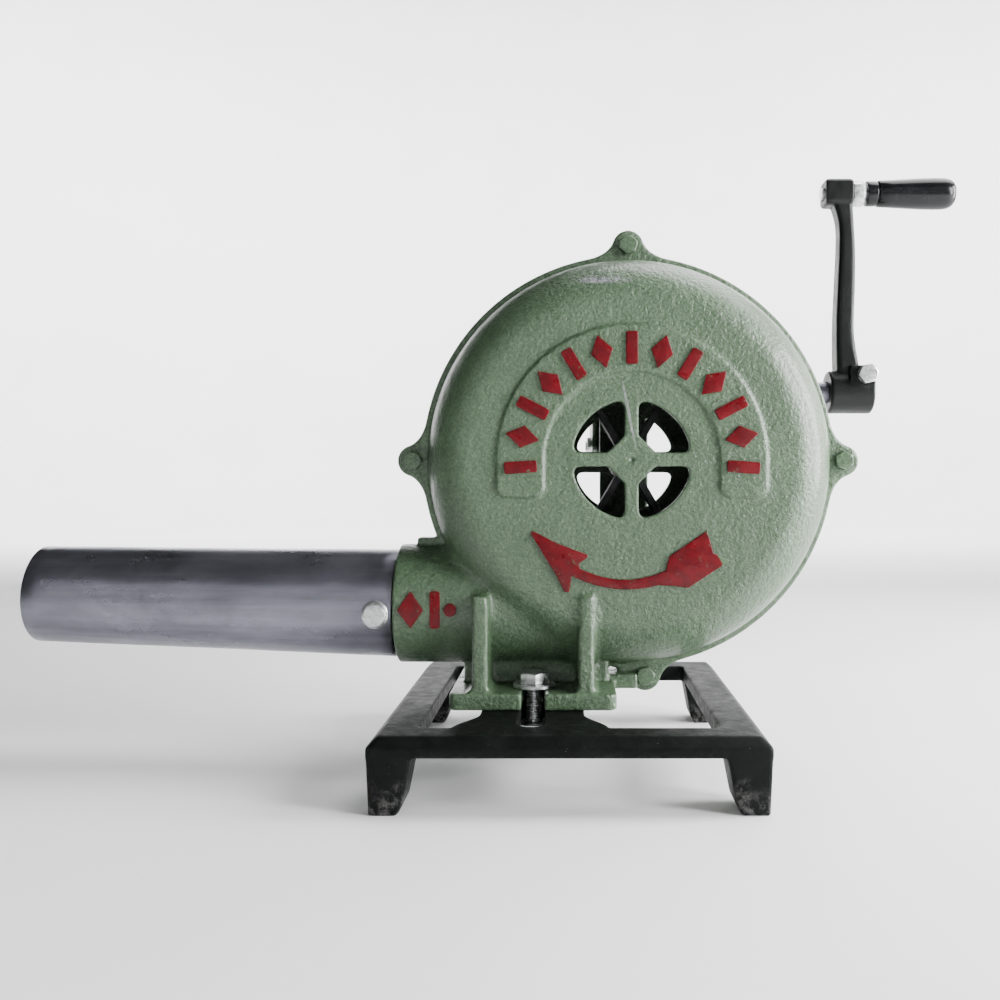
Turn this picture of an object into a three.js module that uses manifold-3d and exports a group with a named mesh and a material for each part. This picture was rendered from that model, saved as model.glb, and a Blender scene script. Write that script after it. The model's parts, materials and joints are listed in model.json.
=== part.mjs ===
// Hand-cranked forge blower: a round cast fan casing on a cast stand, a geared crank and a blast pipe.
// Millimetres, +Z up. +X points to the crank side, -Y is the front with the air inlet.
// The shapes are worked out about the fan axis, and the group at the end moves the whole part so that
// the middle of its footprint is the origin.
import * as THREE from "three";
import { mergeVertices } from "three/addons/utils/BufferGeometryUtils.js";
import Module from "manifold-3d";

const wasm = await Module();
wasm.setup();

// ---------------------------------------------------------------- driving dimensions
const gap = 0.3; // between faces that touch
const runClearance = 0.3; // round a shaft or bolt, on the radius

const casing = {
  flangeRadius: 146.6,
  flangeThickness: 7,
  flangeStrip: 5.1, // width of flange that shows outside the dome
  rounding: 32.5, // from the dome's rim to the flat of each face
  halfDepth: 50, // joint plane to face
  wall: 6,
  domeSteps: 4,
};
const ear = { boltOutside: 6.4, radius: 11, spread: 11, angles: [90, 0, 180, -85.5] };
const earBolt = { diameter: 8, acrossFlats: 12, head: 5, nut: 6, tail: 2 };
const inlet = { radius: 40, spokeWidth: 9.3, hubRadius: 14.7, cornerRadius: 6 };
const archPanel = { inner: 59.3, outer: 90.2, below: 25, height: 2.2, cornerRadius: 6.5 };
const archBars = { count: 11, from: 172, to: 8, inner: 65, outer: 84, width: 7, height: 1.8 };
const arrow = { height: 1.8, radius: 80 };
const neck = { radius: 42, rimAbove: 2.9, standOff: 15.4, flangeTop: 5, flangeFrom: 12, flangeTo: 58 };
const spigot = { length: 28, bore: 31.5, clearance: 2 };
const pipe = { radius: 38.1, farRadius: 33.8, length: 255, wall: 1.5, tilt: 1.5 };
const pipeBolt = { diameter: 8, acrossFlats: 15, head: 6, flangeRadius: 9.5, length: 12 };
const pipeBoltPlace = { fromEnd: 10.4, belowAxis: 4, clearance: 0.5 };
const foot = { middle: -66, width: 111.4, reach: 59, thickness: 10.8, web: 18, cornerRadius: 5 };
const footClearance = 19.8; // stand top to the lowest point of the flange's rim
const notch = { width: 15.2, boltReach: 32.8 };
const rib = { spacing: 70.8, thickness: 10.5, aboveNeckAxis: 10.3, topReach: 53, footReach: 56 };
const stand = {
  middle: -41.7, // centre of the frame, from the fan axis
  width: 242,
  depth: 259,
  height: 46,
  rail: 28,
  thickness: 12,
  bevel: 6,
};
const leg = { width: 28.5, depth: 36, footWidth: 19.5, footDepth: 30, lean: 1.5 };
const tongue = { halfWidth: 34, flareWidth: 49, flare: 36, end: 12 };
const slot = { width: 15.6, toRail: 2.5, pastBolt: 8.3 };
const footBolt = { diameter: 12, acrossFlats: 19, head: 7.5, nut: 10, tail: 4 };
const footWasher = { radius: 14.5, thickness: 2.4 };

const impeller = { tipClearance: 10.5, bladeFrom: 46, bladeShare: 0.6, bladeThickness: 2.5, blades: 6 };
const spider = { hubRadius: 14, hubLength: 40, armReach: 80, armWidth: 24, armThickness: 5 };
const impellerNut = { acrossFlats: 18, height: 8 };
const fanShaft = { radius: 6, frontTail: 3, rearTail: 3 };
const fanBush = { wall: 3.6, length: 14, recess: 0.5 };

const gearTeeth = { module: 1.9, wheel: 48, worm: 4, wheelHelix: 30, pressure: 20 };
const gearCut = { addendum: 0.8, dedendum: 1.15, backlash: 0.3 };
const wheel = { width: 12, hubWall: 8.5, hubClearance: 1, holes: 5, holeRadius: 8, rimWidth: 9 };
const worm = { length: 26 };
const gearCase = {
  halfWidth: 18.5,
  wall: 4,
  rim: 5,
  behindPlate: 5, // mounting plate to drum
  wheelClearance: 2.5,
  wormClearance: 1.8,
  barrelWall: 5,
  barrelShort: 14, // barrel ends this far short of the drum's back
};
const mountPlate = { thickness: 8, aroundScrew: 10, outsideInlet: 12, belowDrumTop: 20 };
const mountScrew = { diameter: 8, acrossFlats: 13, head: 5.5, bite: 9 };
const crankBoss = { radius: 17, end: 95 };
const gearCover = { thickness: 5, boss: 17, bossLength: 7 };
const coverScrew = {
  diameter: 5,
  acrossFlats: 8,
  head: 3.6,
  bite: 11,
  lugRadius: 7,
  angles: [45, 135, 225, 315],
};
const oilPlug = {
  diameter: 10,
  acrossFlats: 14,
  head: 6,
  flangeRadius: 9.5,
  length: 7,
  seat: 4,
  seatRadius: 11,
};

const crankShaft = { radius: 8.5, pastHub: 2.2 };
const crankBush = { wall: 3.2, length: 20, recess: 0.5 };
const shaftKey = { width: 5, height: 5, setBack: 1 };
const shaftCollar = { wall: 5.5, length: 9 };
const collarScrew = { radius: 2.6, proud: 1 };
const crankHub = { wall: 9.3, standOff: 28.6, length: 36.6 };
const clamp = { length: 20.8, bodyWall: 3.4, slit: 2.6, boltInset: 8.3, rootDepth: 3 };
const clampBolt = { diameter: 8, acrossFlats: 14.6, head: 6, nut: 6.5, tail: 2, clearShaft: 0.8 };
const clampWasher = { radius: 7.4, thickness: 2.2 };
const crankArm = { throw: 167.4, halfDepthHub: 11, halfDepthTop: 9, bevel: 2 };
const armBoss = { inset: -3, length: 23.2, height: 21.8, halfDepth: 11.5, corner: 3 };
const handleBolt = { radius: 5, headRadius: 7.4, head: 5, recess: 3, slot: 1.6, slotDepth: 2 };
const handleNut = { acrossFlats: 19, thickness: 10, toGrip: 1.9 };
const grip = { length: 74, collar: 9, collarRadius: 10.4, neckRadius: 10.9, radius: 13 };

// ---------------------------------------------------------------- values that follow from them
const rad = THREE.MathUtils.degToRad;
const fanHeight = stand.height + footClearance + casing.flangeRadius; // fan axis above the floor
const bodyRadius = casing.flangeRadius - casing.flangeStrip;
const faceRadius = bodyRadius - casing.rounding;
const chamberRadius = bodyRadius - casing.wall;
const earCircle = casing.flangeRadius + ear.boltOutside;
const neckDrop = casing.flangeRadius - neck.rimAbove - neck.radius; // fan axis down to the neck's axis
const neckReach = casing.flangeRadius + neck.standOff;
const spigotRadius = pipe.radius - pipe.wall - spigot.clearance;
const footBottom = stand.height - fanHeight + gap; // from the fan axis, as everything in the blower is
const footTop = footBottom + foot.thickness;
const ribTop = rib.aboveNeckAxis - neckDrop;
const impellerRadius = chamberRadius - impeller.tipClearance;

const wheelHelix = rad(gearTeeth.wheelHelix);
const wormHelix = Math.PI / 2 - wheelHelix;
const wheelPitchRadius = (gearTeeth.wheel * gearTeeth.module) / (2 * Math.cos(wheelHelix));
const wormPitchRadius = (gearTeeth.worm * gearTeeth.module) / (2 * Math.cos(wormHelix));
const centreDistance = wheelPitchRadius + wormPitchRadius;
const toothAddendum = gearCut.addendum * gearTeeth.module;
const toothDedendum = gearCut.dedendum * gearTeeth.module;
const drumInner = wheelPitchRadius + toothAddendum + gearCase.wheelClearance;
const drumOuter = drumInner + gearCase.rim;
const barrelInner = Math.max(wormPitchRadius + toothAddendum, fanShaft.radius) + gearCase.wormClearance;
const barrelOuter = barrelInner + gearCase.barrelWall;
const caseFront = casing.halfDepth + gap; // back face of the rear casing, with its gap
const plateBack = caseFront + mountPlate.thickness;
const crankBehind = plateBack + gearCase.behindPlate + drumOuter; // crank axis behind the joint plane
const barrelEnd = crankBehind + drumOuter - gearCase.barrelShort;
const rearBushFrom = barrelEnd - fanBush.length;
const screwTop = centreDistance + drumOuter - mountPlate.belowDrumTop;
const screwBottom = -inlet.radius - mountPlate.outsideInlet;
const wheelHubEnd = gearCase.halfWidth - gearCase.wall - wheel.hubClearance;
const coverInside = -gearCase.halfWidth - gap;
const coverFace = coverInside - gearCover.thickness;
const screwCircle = drumInner + coverScrew.lugRadius - 1;

const hubFrom = casing.flangeRadius + crankHub.standOff;
const hubEnd = hubFrom + crankHub.length;
const hubRadius = crankShaft.radius + crankHub.wall;
const clampFrom = hubEnd - clamp.length;
const clampBoltX = hubEnd - clamp.boltInset;
const clampBoltRise = crankShaft.radius + clampBolt.clearShaft + runClearance + clampBolt.diameter / 2;
const clampTop = clampBoltRise + clampBolt.diameter / 2 + runClearance + clamp.bodyWall;
const clampHalfDepth = hubRadius - 0.8;
const bossFrom = hubFrom + armBoss.inset;
const bossEnd = bossFrom + armBoss.length;
const gripFrom = bossEnd + gap + handleNut.thickness + handleNut.toGrip;
const gripEnd = gripFrom + grip.length;
const handleHead = gripEnd - handleBolt.head - handleBolt.recess;

const finishes = {
  greenPaint: { color: 0x7d9b7c, roughness: 0.45, metalness: 0.1 },
  blackPaint: { color: 0x17191a, roughness: 0.4, metalness: 0.2 },
  bareSteel: { color: 0x8d8b98, roughness: 0.3, metalness: 0.9 },
  zincSteel: { color: 0xc4c6c6, roughness: 0.35, metalness: 0.9 },
  blackPlastic: { color: 0x111315, roughness: 0.35, metalness: 0 },
  darkIron: { color: 0x2c2f2e, roughness: 0.6, metalness: 0.4 },
  bronze: { color: 0xa9793c, roughness: 0.4, metalness: 0.8 },
};

// ---------------------------------------------------------------- geometry helpers
function solid(geometry) {
  const flat = geometry.index ? geometry.toNonIndexed() : geometry;
  const bare = new THREE.BufferGeometry().setAttribute("position", flat.getAttribute("position"));
  const merged = mergeVertices(bare, 1e-4);
  return new wasm.Manifold(
    new wasm.Mesh({
      numProp: 3,
      vertProperties: merged.attributes.position.array,
      triVerts: new Uint32Array(merged.index.array),
    }),
  );
}

function join(...solids) {
  return solids.reduce((whole, piece) => whole.add(piece));
}

function cut(whole, ...tools) {
  return tools.reduce((left, tool) => left.subtract(tool), whole);
}

function geometryOf(manifold) {
  const mesh = manifold.getMesh();
  const corners = new Float32Array(mesh.numVert * 3);
  for (let i = 0; i < mesh.numVert; i++) {
    corners.set(mesh.vertProperties.subarray(i * mesh.numProp, i * mesh.numProp + 3), i * 3);
  }
  const geometry = new THREE.BufferGeometry();
  geometry.setAttribute("position", new THREE.BufferAttribute(corners, 3));
  geometry.setIndex(new THREE.BufferAttribute(mesh.triVerts, 1));
  geometry.computeVertexNormals();
  return geometry;
}

// A profile of [along, radius] pairs turned about the axis.
function spin(axis, profile, segments = 20) {
  const points = profile.map(([along, radius]) => new THREE.Vector2(radius, along));
  if (THREE.ShapeUtils.area(points) < 0) points.reverse();
  if (points[0].x > 0) points.push(points[0].clone());
  const geometry = new THREE.LatheGeometry(points, segments);
  if (axis === "x") geometry.rotateZ(-Math.PI / 2);
  if (axis === "z") geometry.rotateX(Math.PI / 2);
  return geometry;
}

function rod(axis, radius, from, to, segments = 20) {
  return spin(axis, [[from, 0], [from, radius], [to, radius], [to, 0]], segments);
}

function tube(axis, outer, inner, from, to, segments = 20) {
  return spin(axis, [[from, inner], [from, outer], [to, outer], [to, inner]], segments);
}

function block(x0, x1, y0, y1, z0, z1) {
  const box = new THREE.BoxGeometry(x1 - x0, y1 - y0, z1 - z0);
  return box.translate((x0 + x1) / 2, (y0 + y1) / 2, (z0 + z1) / 2);
}

// An outline drawn in X and Z, as seen from the front, with its thickness along Y.
function plateXZ(shape, y0, y1, curveSegments = 8) {
  const plate = new THREE.ExtrudeGeometry(shape, { depth: y1 - y0, bevelEnabled: false, curveSegments });
  return plate.rotateX(Math.PI / 2).translate(0, y1, 0);
}

// An outline drawn in X and Y, as seen from above, with its thickness along Z.
function plateXY(shape, z0, z1, curveSegments = 8) {
  const plate = new THREE.ExtrudeGeometry(shape, { depth: z1 - z0, bevelEnabled: false, curveSegments });
  return plate.translate(0, 0, z0);
}

function outline(points) {
  return new THREE.Shape(points.map(([x, y]) => new THREE.Vector2(x, y)));
}

function rectangle(x0, x1, y0, y1) {
  return outline([[x0, y0], [x1, y0], [x1, y1], [x0, y1]]);
}

function polar(radius, degrees) {
  return [radius * Math.cos(rad(degrees)), radius * Math.sin(rad(degrees))];
}

// ---------------------------------------------------------------- fasteners, along Y with the head to -Y
function hexPrism(acrossFlats, from, to) {
  const radius = acrossFlats / Math.sqrt(3);
  return new THREE.CylinderGeometry(radius, radius, to - from, 6).translate(0, (from + to) / 2, 0);
}

function hexBolt({ diameter, acrossFlats, head, flangeRadius = 0 }, length) {
  const chamfer = diameter * 0.1;
  const shank = spin("y", [
    [-head / 2, 0],
    [-head / 2, diameter / 2],
    [length - chamfer, diameter / 2],
    [length, diameter / 2 - chamfer],
    [length, 0],
  ], 12);
  const bolt = join(solid(hexPrism(acrossFlats, -head, 0)), solid(shank));
  if (!flangeRadius) return bolt;
  return bolt.add(solid(rod("y", flangeRadius, -head * 0.3, 0, 20)));
}

function hexNut(acrossFlats, height, shankRadius) {
  return cut(solid(hexPrism(acrossFlats, 0, height)), solid(rod("y", shankRadius, -1, height + 1, 12)));
}

// ---------------------------------------------------------------- scene graph
const assembly = new THREE.Group();
const blower = new THREE.Group();
blower.position.set(0, 0, fanHeight);
assembly.add(blower);
const crank = new THREE.Group();
crank.position.set(0, crankBehind, centreDistance);
blower.add(crank);

function addPiece(group, name, shape, finish, place = {}) {
  const geometry = shape.isBufferGeometry ? shape : geometryOf(shape);
  const mesh = new THREE.Mesh(geometry, new THREE.MeshStandardMaterial(finishes[finish]));
  mesh.name = name;
  mesh.position.set(...(place.at ?? [0, 0, 0]));
  mesh.rotation.set(...(place.turn ?? [0, 0, 0]));
  group.add(mesh);
  return mesh;
}

// ---------------------------------------------------------------- line of the blast pipe
// The pipe leaves the neck a little nose-up, so it and its bolt hang in a tilted group.
const pipeLine = new THREE.Group();
const pipeLift = gap + pipe.radius * Math.sin(rad(pipe.tilt));
pipeLine.position.set(-neckReach - pipeLift, 0, -neckDrop);
pipeLine.rotation.set(0, rad(pipe.tilt), 0);
pipeLine.updateMatrix();
blower.add(pipeLine);
const boltOnPipe = new THREE.Vector3(-pipeBoltPlace.fromEnd, 0, -pipeBoltPlace.belowAxis);
const boltOnSpigot = boltOnPipe.clone().applyMatrix4(pipeLine.matrix);

// ---------------------------------------------------------------- fan casing
// The dome's section, as [depth, radius] from the back of the flange to the middle of the face.
function domeSection(rimRadius, depth) {
  const section = [];
  for (let i = 0; i <= casing.domeSteps; i++) {
    const turn = (Math.PI / 2) * (i / casing.domeSteps);
    section.push([
      casing.flangeThickness + (depth - casing.flangeThickness) * Math.sin(turn),
      faceRadius + (rimRadius - faceRadius) * Math.cos(turn),
    ]);
  }
  section.push([depth, 0]);
  return section;
}

function casingOuter(side) {
  const dome = domeSection(bodyRadius, casing.halfDepth);
  const section = [
    [0, 0],
    [0, casing.flangeRadius],
    [casing.flangeThickness, casing.flangeRadius],
    ...dome,
  ];
  return spin("y", section.map(([depth, radius]) => [side * depth, radius]), 56);
}

function fanChamber(side) {
  const dome = domeSection(chamberRadius, casing.halfDepth - casing.wall);
  const section = [[-1, 0], [-1, chamberRadius], ...dome];
  return spin("y", section.map(([depth, radius]) => [side * depth, radius]), 56);
}

// A lug whose flanks run from the flange's rim to the round tip, drawn at the angle of its bolt.
function earShape(angle) {
  const base = casing.flangeRadius - 6;
  const shape = new THREE.Shape();
  const [cx, cz] = polar(earCircle, angle);
  shape.moveTo(...polar(base, angle - ear.spread));
  shape.lineTo(...polar(casing.flangeRadius - 0.5, angle - ear.spread));
  shape.absarc(cx, cz, ear.radius, rad(angle - 62), rad(angle + 62), false);
  shape.lineTo(...polar(casing.flangeRadius - 0.5, angle + ear.spread));
  shape.lineTo(...polar(base, angle + ear.spread));
  return shape;
}

function inletWindow() {
  const half = inlet.spokeWidth / 2;
  const near = inlet.hubRadius * Math.SQRT2 - half;
  const far = Math.sqrt(inlet.radius ** 2 - half ** 2);
  const trim = inlet.cornerRadius;
  const turn = (half + trim) / inlet.radius;
  const shape = new THREE.Shape();
  shape.moveTo(near, half);
  shape.lineTo(far - trim, half);
  shape.quadraticCurveTo(far, half, inlet.radius * Math.cos(turn), inlet.radius * Math.sin(turn));
  shape.absarc(0, 0, inlet.radius, turn, Math.PI / 2 - turn, false);
  shape.quadraticCurveTo(half, far, half, far - trim);
  shape.lineTo(half, near);
  return shape;
}

function inletWindows(side) {
  const reach = [side * (casing.halfDepth - casing.wall - 6), side * (casing.halfDepth + 5)];
  const window = plateXZ(inletWindow(), Math.min(...reach), Math.max(...reach), 3);
  return [0, 1, 2, 3].map((quarter) => solid(window.clone().rotateY((quarter * Math.PI) / 2)));
}

// Neck, spigot and the strip of flange along the neck's top. Both halves share it before it is split.
function neckOuter() {
  const tubeTop = block(
    -neckReach + neck.flangeFrom, -neckReach + neck.flangeTo,
    -casing.flangeThickness, casing.flangeThickness,
    -neckDrop, -neckDrop + neck.radius + neck.flangeTop,
  );
  const barrel = rod("x", neck.radius, -neckReach, 0, 28).translate(0, 0, -neckDrop);
  const stub = rod("x", spigotRadius, -neckReach - spigot.length, -neckReach + 5, 28);
  return join(solid(barrel), solid(stub.translate(0, 0, -neckDrop)), solid(tubeTop));
}

function roundedRectangle(x0, x1, y0, y1, radius) {
  const shape = new THREE.Shape();
  shape.moveTo(x0 + radius, y0);
  shape.lineTo(x1 - radius, y0);
  shape.absarc(x1 - radius, y0 + radius, radius, -Math.PI / 2, 0, false);
  shape.lineTo(x1, y1 - radius);
  shape.absarc(x1 - radius, y1 - radius, radius, 0, Math.PI / 2, false);
  shape.lineTo(x0 + radius, y1);
  shape.absarc(x0 + radius, y1 - radius, radius, Math.PI / 2, Math.PI, false);
  shape.lineTo(x0, y0 + radius);
  shape.absarc(x0 + radius, y0 + radius, radius, Math.PI, 1.5 * Math.PI, false);
  return shape;
}

// The cast foot of one half: plate with its bolt notch, the web above it, the bridge to the lowest ear, and
// two ribs.
function footOuter(side) {
  const x0 = foot.middle - foot.width / 2;
  const x1 = foot.middle + foot.width / 2;
  const inner = -foot.cornerRadius;
  const bridgeEnd = polar(earCircle, ear.angles[3])[0] - 0.6 * earBolt.acrossFlats - 1; // clear of its bolt
  const plateShape = roundedRectangle(x0, x1, inner, foot.reach, foot.cornerRadius);
  const plate = plateXY(plateShape, footBottom, footTop, 3);
  const web = block(x0 + 6, x1 - 4, -1, foot.web, footTop - 1, -neckDrop - neck.radius / 3);
  const bridge = block(x1 - 8, bridgeEnd, -1, foot.web - 2, footTop - 5, footTop + 5);
  const pieces = [solid(plate), solid(web), solid(bridge)];
  for (const hand of [-1, 1]) {
    const profile = outline([
      [-1, footTop - 1],
      [rib.footReach, footTop - 1],
      [rib.topReach, ribTop],
      [-1, ribTop],
    ]);
    const place = foot.middle + (hand * rib.spacing) / 2;
    const plateYZ = new THREE.ExtrudeGeometry(profile, { depth: rib.thickness, bevelEnabled: false });
    plateYZ.rotateX(Math.PI / 2).rotateZ(Math.PI / 2).translate(place - rib.thickness / 2, 0, 0);
    pieces.push(solid(plateYZ));
  }
  const half = notch.width / 2;
  const open = new THREE.Shape();
  open.moveTo(foot.middle + half, notch.boltReach);
  open.lineTo(foot.middle + half, foot.reach + 5);
  open.lineTo(foot.middle - half, foot.reach + 5);
  open.lineTo(foot.middle - half, notch.boltReach);
  open.absarc(foot.middle, notch.boltReach, half, Math.PI, 2 * Math.PI, false);
  const whole = cut(join(...pieces), solid(plateXY(open, footBottom - 1, footTop + 1, 4)));
  return side > 0 ? whole : whole.mirror([0, 1, 0]);
}

function archShape() {
  const { inner, outer, below, cornerRadius: soft } = archPanel;
  const shape = new THREE.Shape();
  shape.moveTo(inner, 0);
  shape.lineTo(inner, -below + soft);
  shape.quadraticCurveTo(inner, -below, inner + soft, -below);
  shape.lineTo(outer - soft, -below);
  shape.quadraticCurveTo(outer, -below, outer, -below + soft);
  shape.lineTo(outer, 0);
  shape.absarc(0, 0, outer, 0, Math.PI, false);
  shape.lineTo(-outer, -below + soft);
  shape.quadraticCurveTo(-outer, -below, -outer + soft, -below);
  shape.lineTo(-inner - soft, -below);
  shape.quadraticCurveTo(-inner, -below, -inner, -below + soft);
  shape.lineTo(-inner, 0);
  shape.absarc(0, 0, inner, Math.PI, 0, true);
  return shape;
}

// Raised arrow for the way the fan turns: a barbed head, a curved shaft and a swallow-tail. It is drawn for
// arrow.radius and grows with it.
function arrowShape() {
  const at = (x, z) => [(x * arrow.radius) / 80, (z * arrow.radius) / 80];
  const shape = new THREE.Shape();
  shape.moveTo(...at(-44, -88.6));
  shape.lineTo(...at(-50, -78));
  shape.lineTo(...at(-67.6, -48));
  shape.lineTo(...at(-50, -56));
  shape.lineTo(...at(-29.4, -64.6));
  shape.lineTo(...at(-35.4, -69.4));
  shape.lineTo(...at(-34.6, -73));
  shape.quadraticCurveTo(...at(-6, -87.1), ...at(22.7, -74.2));
  shape.lineTo(...at(24.9, -64.8));
  shape.lineTo(...at(50.2, -47.6));
  shape.lineTo(...at(54.3, -62.6));
  shape.lineTo(...at(65.4, -67.5));
  shape.lineTo(...at(37.6, -85.8));
  shape.lineTo(...at(17.7, -83.9));
  shape.quadraticCurveTo(...at(-11.4, -91.8), ...at(-40.2, -77.8));
  return shape;
}

function frontRelief() {
  const face = -casing.halfDepth;
  const top = face - archPanel.height;
  const pieces = [
    solid(plateXZ(archShape(), top, face + 1, 14)),
    solid(plateXZ(arrowShape(), face - arrow.height, face + 1, 5)),
  ];
  const step = (archBars.to - archBars.from) / (archBars.count - 1);
  for (let i = 0; i < archBars.count; i++) {
    const half = archBars.width / 2;
    const bar = block(archBars.inner, archBars.outer, top - archBars.height, top + 1, -half, half);
    pieces.push(solid(bar.rotateY(-rad(archBars.from + i * step))));
  }
  return pieces;
}

function airway() {
  const from = -neckReach - spigot.length - 2;
  return rod("x", spigot.bore, from, -chamberRadius / 3, 24).translate(0, 0, -neckDrop);
}

function earHoles() {
  return ear.angles.map((angle) => {
    const [x, z] = polar(earCircle, angle);
    return solid(rod("y", earBolt.diameter / 2 + runClearance, -20, 20, 16).translate(x, 0, z));
  });
}

// Everything on one side of the joint plane, side -1 being the front.
function casingHalf(side) {
  const far = 3 * casing.flangeRadius;
  const ears = ear.angles.map((angle) => {
    const plate = plateXZ(earShape(angle), -casing.flangeThickness, casing.flangeThickness, 5);
    return solid(plate);
  });
  const outer = join(solid(casingOuter(side)), neckOuter(), footOuter(side), ...ears);
  const boltHole = rod("y", pipeBolt.diameter / 2 + 2 * pipeBoltPlace.clearance, -pipe.radius, -10, 16);
  const shell = cut(
    side < 0 ? join(outer, ...frontRelief()) : outer,
    solid(fanChamber(side)),
    solid(airway()),
    solid(boltHole.translate(...boltOnSpigot.toArray())),
    ...inletWindows(side),
    ...earHoles(),
  );
  const near = (side * gap) / 2;
  const keep = block(-far, far, Math.min(near, side * far), Math.max(near, side * far), -far, far);
  return shell.intersect(solid(keep));
}

function mountHoles() {
  return [screwTop, screwBottom].map((z) => {
    const hole = rod("y", mountScrew.diameter / 2 + runClearance, casing.halfDepth - 15, plateBack + 5, 16);
    return solid(hole.translate(0, 0, z));
  });
}

const fanBushOuter = fanShaft.radius + runClearance + fanBush.wall;

function rearCasing() {
  const back = casing.halfDepth;
  const hub = solid(rod("y", inlet.hubRadius, back - casing.wall - 6, back));
  const bore = solid(rod("y", fanBushOuter + gap, back - 30, back + 5));
  return cut(join(casingHalf(1), hub), bore, ...mountHoles());
}

addPiece(blower, "front_casing", casingHalf(-1), "greenPaint");
addPiece(blower, "rear_casing", rearCasing(), "greenPaint");

function earFasteners() {
  const under = casing.flangeThickness + gap;
  const bolt = geometryOf(hexBolt(earBolt, 2 * under + earBolt.nut + earBolt.tail));
  const nut = geometryOf(hexNut(earBolt.acrossFlats, earBolt.nut, earBolt.diameter / 2 + runClearance));
  ear.angles.forEach((angle, i) => {
    const [x, z] = polar(earCircle, angle);
    addPiece(blower, "casing_bolt_" + (i + 1), bolt, "greenPaint", { at: [x, -under, z] });
    addPiece(blower, "casing_nut_" + (i + 1), nut, "greenPaint", { at: [x, under, z] });
  });
}
earFasteners();

// ---------------------------------------------------------------- blast pipe
function blastPipe() {
  const body = spin("x", [
    [0, pipe.radius - pipe.wall],
    [0, pipe.radius],
    [-pipe.length, pipe.farRadius],
    [-pipe.length, pipe.farRadius - pipe.wall],
  ], 40);
  const hole = rod("y", pipeBolt.diameter / 2 + pipeBoltPlace.clearance, -pipe.radius - 5, -10, 16);
  return cut(solid(body), solid(hole.translate(...boltOnPipe.toArray())));
}
addPiece(pipeLine, "blast_pipe", blastPipe(), "bareSteel");
addPiece(pipeLine, "pipe_bolt", hexBolt(pipeBolt, pipeBolt.length), "zincSteel", {
  at: [boltOnPipe.x, -pipe.radius - gap, boltOnPipe.z],
});

// ---------------------------------------------------------------- stand and its two foot bolts
function standLeg(handX, handY) {
  const taper = new THREE.BoxGeometry(leg.width, leg.depth, stand.height - stand.bevel);
  const corners = taper.getAttribute("position");
  for (let i = 0; i < corners.count; i++) {
    const outX = corners.getX(i) * handX > 0;
    const outY = corners.getY(i) * handY > 0;
    const low = corners.getZ(i) < 0;
    const edgeX = stand.width / 2 - (low ? leg.lean : 0) - (outX ? 0 : low ? leg.footWidth : leg.width);
    const edgeY = stand.depth / 2 - (low ? leg.lean : 0) - (outY ? 0 : low ? leg.footDepth : leg.depth);
    corners.setXYZ(i, handX * edgeX, handY * edgeY, low ? 0 : stand.height - stand.bevel);
  }
  return solid(taper);
}

function standFrame() {
  const halfWidth = stand.width / 2;
  const halfDepth = stand.depth / 2;
  const inset = stand.bevel;
  const bevelled = new THREE.ExtrudeGeometry(
    rectangle(-halfWidth + inset, halfWidth - inset, -halfDepth + inset, halfDepth - inset),
    {
      depth: stand.thickness - stand.bevel,
      bevelThickness: stand.bevel,
      bevelSize: stand.bevel,
      bevelSegments: 1,
    },
  );
  const under = stand.height - stand.thickness;
  const slab = solid(bevelled.translate(0, 0, under)).subtract(
    solid(block(-400, 400, -400, 400, under - 30, under)),
  );
  const inner = block(
    -halfWidth + stand.rail, halfWidth - stand.rail,
    -halfDepth + stand.rail, halfDepth - stand.rail,
    under - 5, stand.height + 5,
  );
  return cut(slab, solid(inner));
}

// Tongue from the front or rear rail to the middle, slotted so that the bolt can slide along it.
function standTongue(hand) {
  const middle = foot.middle - stand.middle;
  const rail = stand.depth / 2 - stand.rail;
  const { halfWidth, flareWidth, flare, end } = tongue;
  const shape = outline([
    [middle - flareWidth, rail + 1],
    [middle - halfWidth, rail - flare],
    [middle - halfWidth, end],
    [middle + halfWidth, end],
    [middle + halfWidth, rail - flare],
    [middle + flareWidth, rail + 1],
  ]);
  const under = stand.height - stand.thickness;
  const half = slot.width / 2;
  const inner = notch.boltReach - slot.pastBolt;
  const slotShape = roundedRectangle(middle - half, middle + half, inner, rail - slot.toRail, half * 0.98);
  const lug = cut(
    solid(plateXY(shape, under, stand.height)),
    solid(plateXY(slotShape, under - 5, stand.height + 5, 4)),
  );
  return hand > 0 ? lug : lug.mirror([0, 1, 0]);
}

function standSolid() {
  const corners = [[-1, -1], [1, -1], [1, 1], [-1, 1]];
  return join(
    standFrame(),
    standTongue(1),
    standTongue(-1),
    ...corners.map(([x, y]) => standLeg(x, y)),
  );
}
addPiece(assembly, "stand", standSolid(), "blackPaint", { at: [stand.middle, 0, 0] });

function footFasteners() {
  const washer = tube("z", footWasher.radius, footBolt.diameter / 2 + runClearance, 0, footWasher.thickness);
  const plateTop = footTop + fanHeight;
  const under = stand.height - stand.thickness;
  const upper = plateTop + gap;
  const seat = upper + footWasher.thickness + gap;
  const lower = under - gap - footWasher.thickness;
  const nutTop = lower - gap;
  const bolt = hexBolt(footBolt, seat - nutTop + footBolt.nut + footBolt.tail);
  const nut = hexNut(footBolt.acrossFlats, footBolt.nut, footBolt.diameter / 2 + runClearance);
  for (const [end, hand] of [["front", -1], ["rear", 1]]) {
    const x = foot.middle;
    const y = hand * notch.boltReach;
    const headUp = [-Math.PI / 2, 0, 0];
    addPiece(assembly, "foot_bolt_" + end, bolt, "zincSteel", { at: [x, y, seat], turn: headUp });
    addPiece(assembly, "foot_washer_" + end, solid(washer), "zincSteel", { at: [x, y, upper] });
    addPiece(assembly, "foot_washer_under_" + end, solid(washer), "zincSteel", { at: [x, y, lower] });
    addPiece(assembly, "foot_nut_" + end, nut, "zincSteel", { at: [x, y, nutTop], turn: headUp });
  }
}
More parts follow.
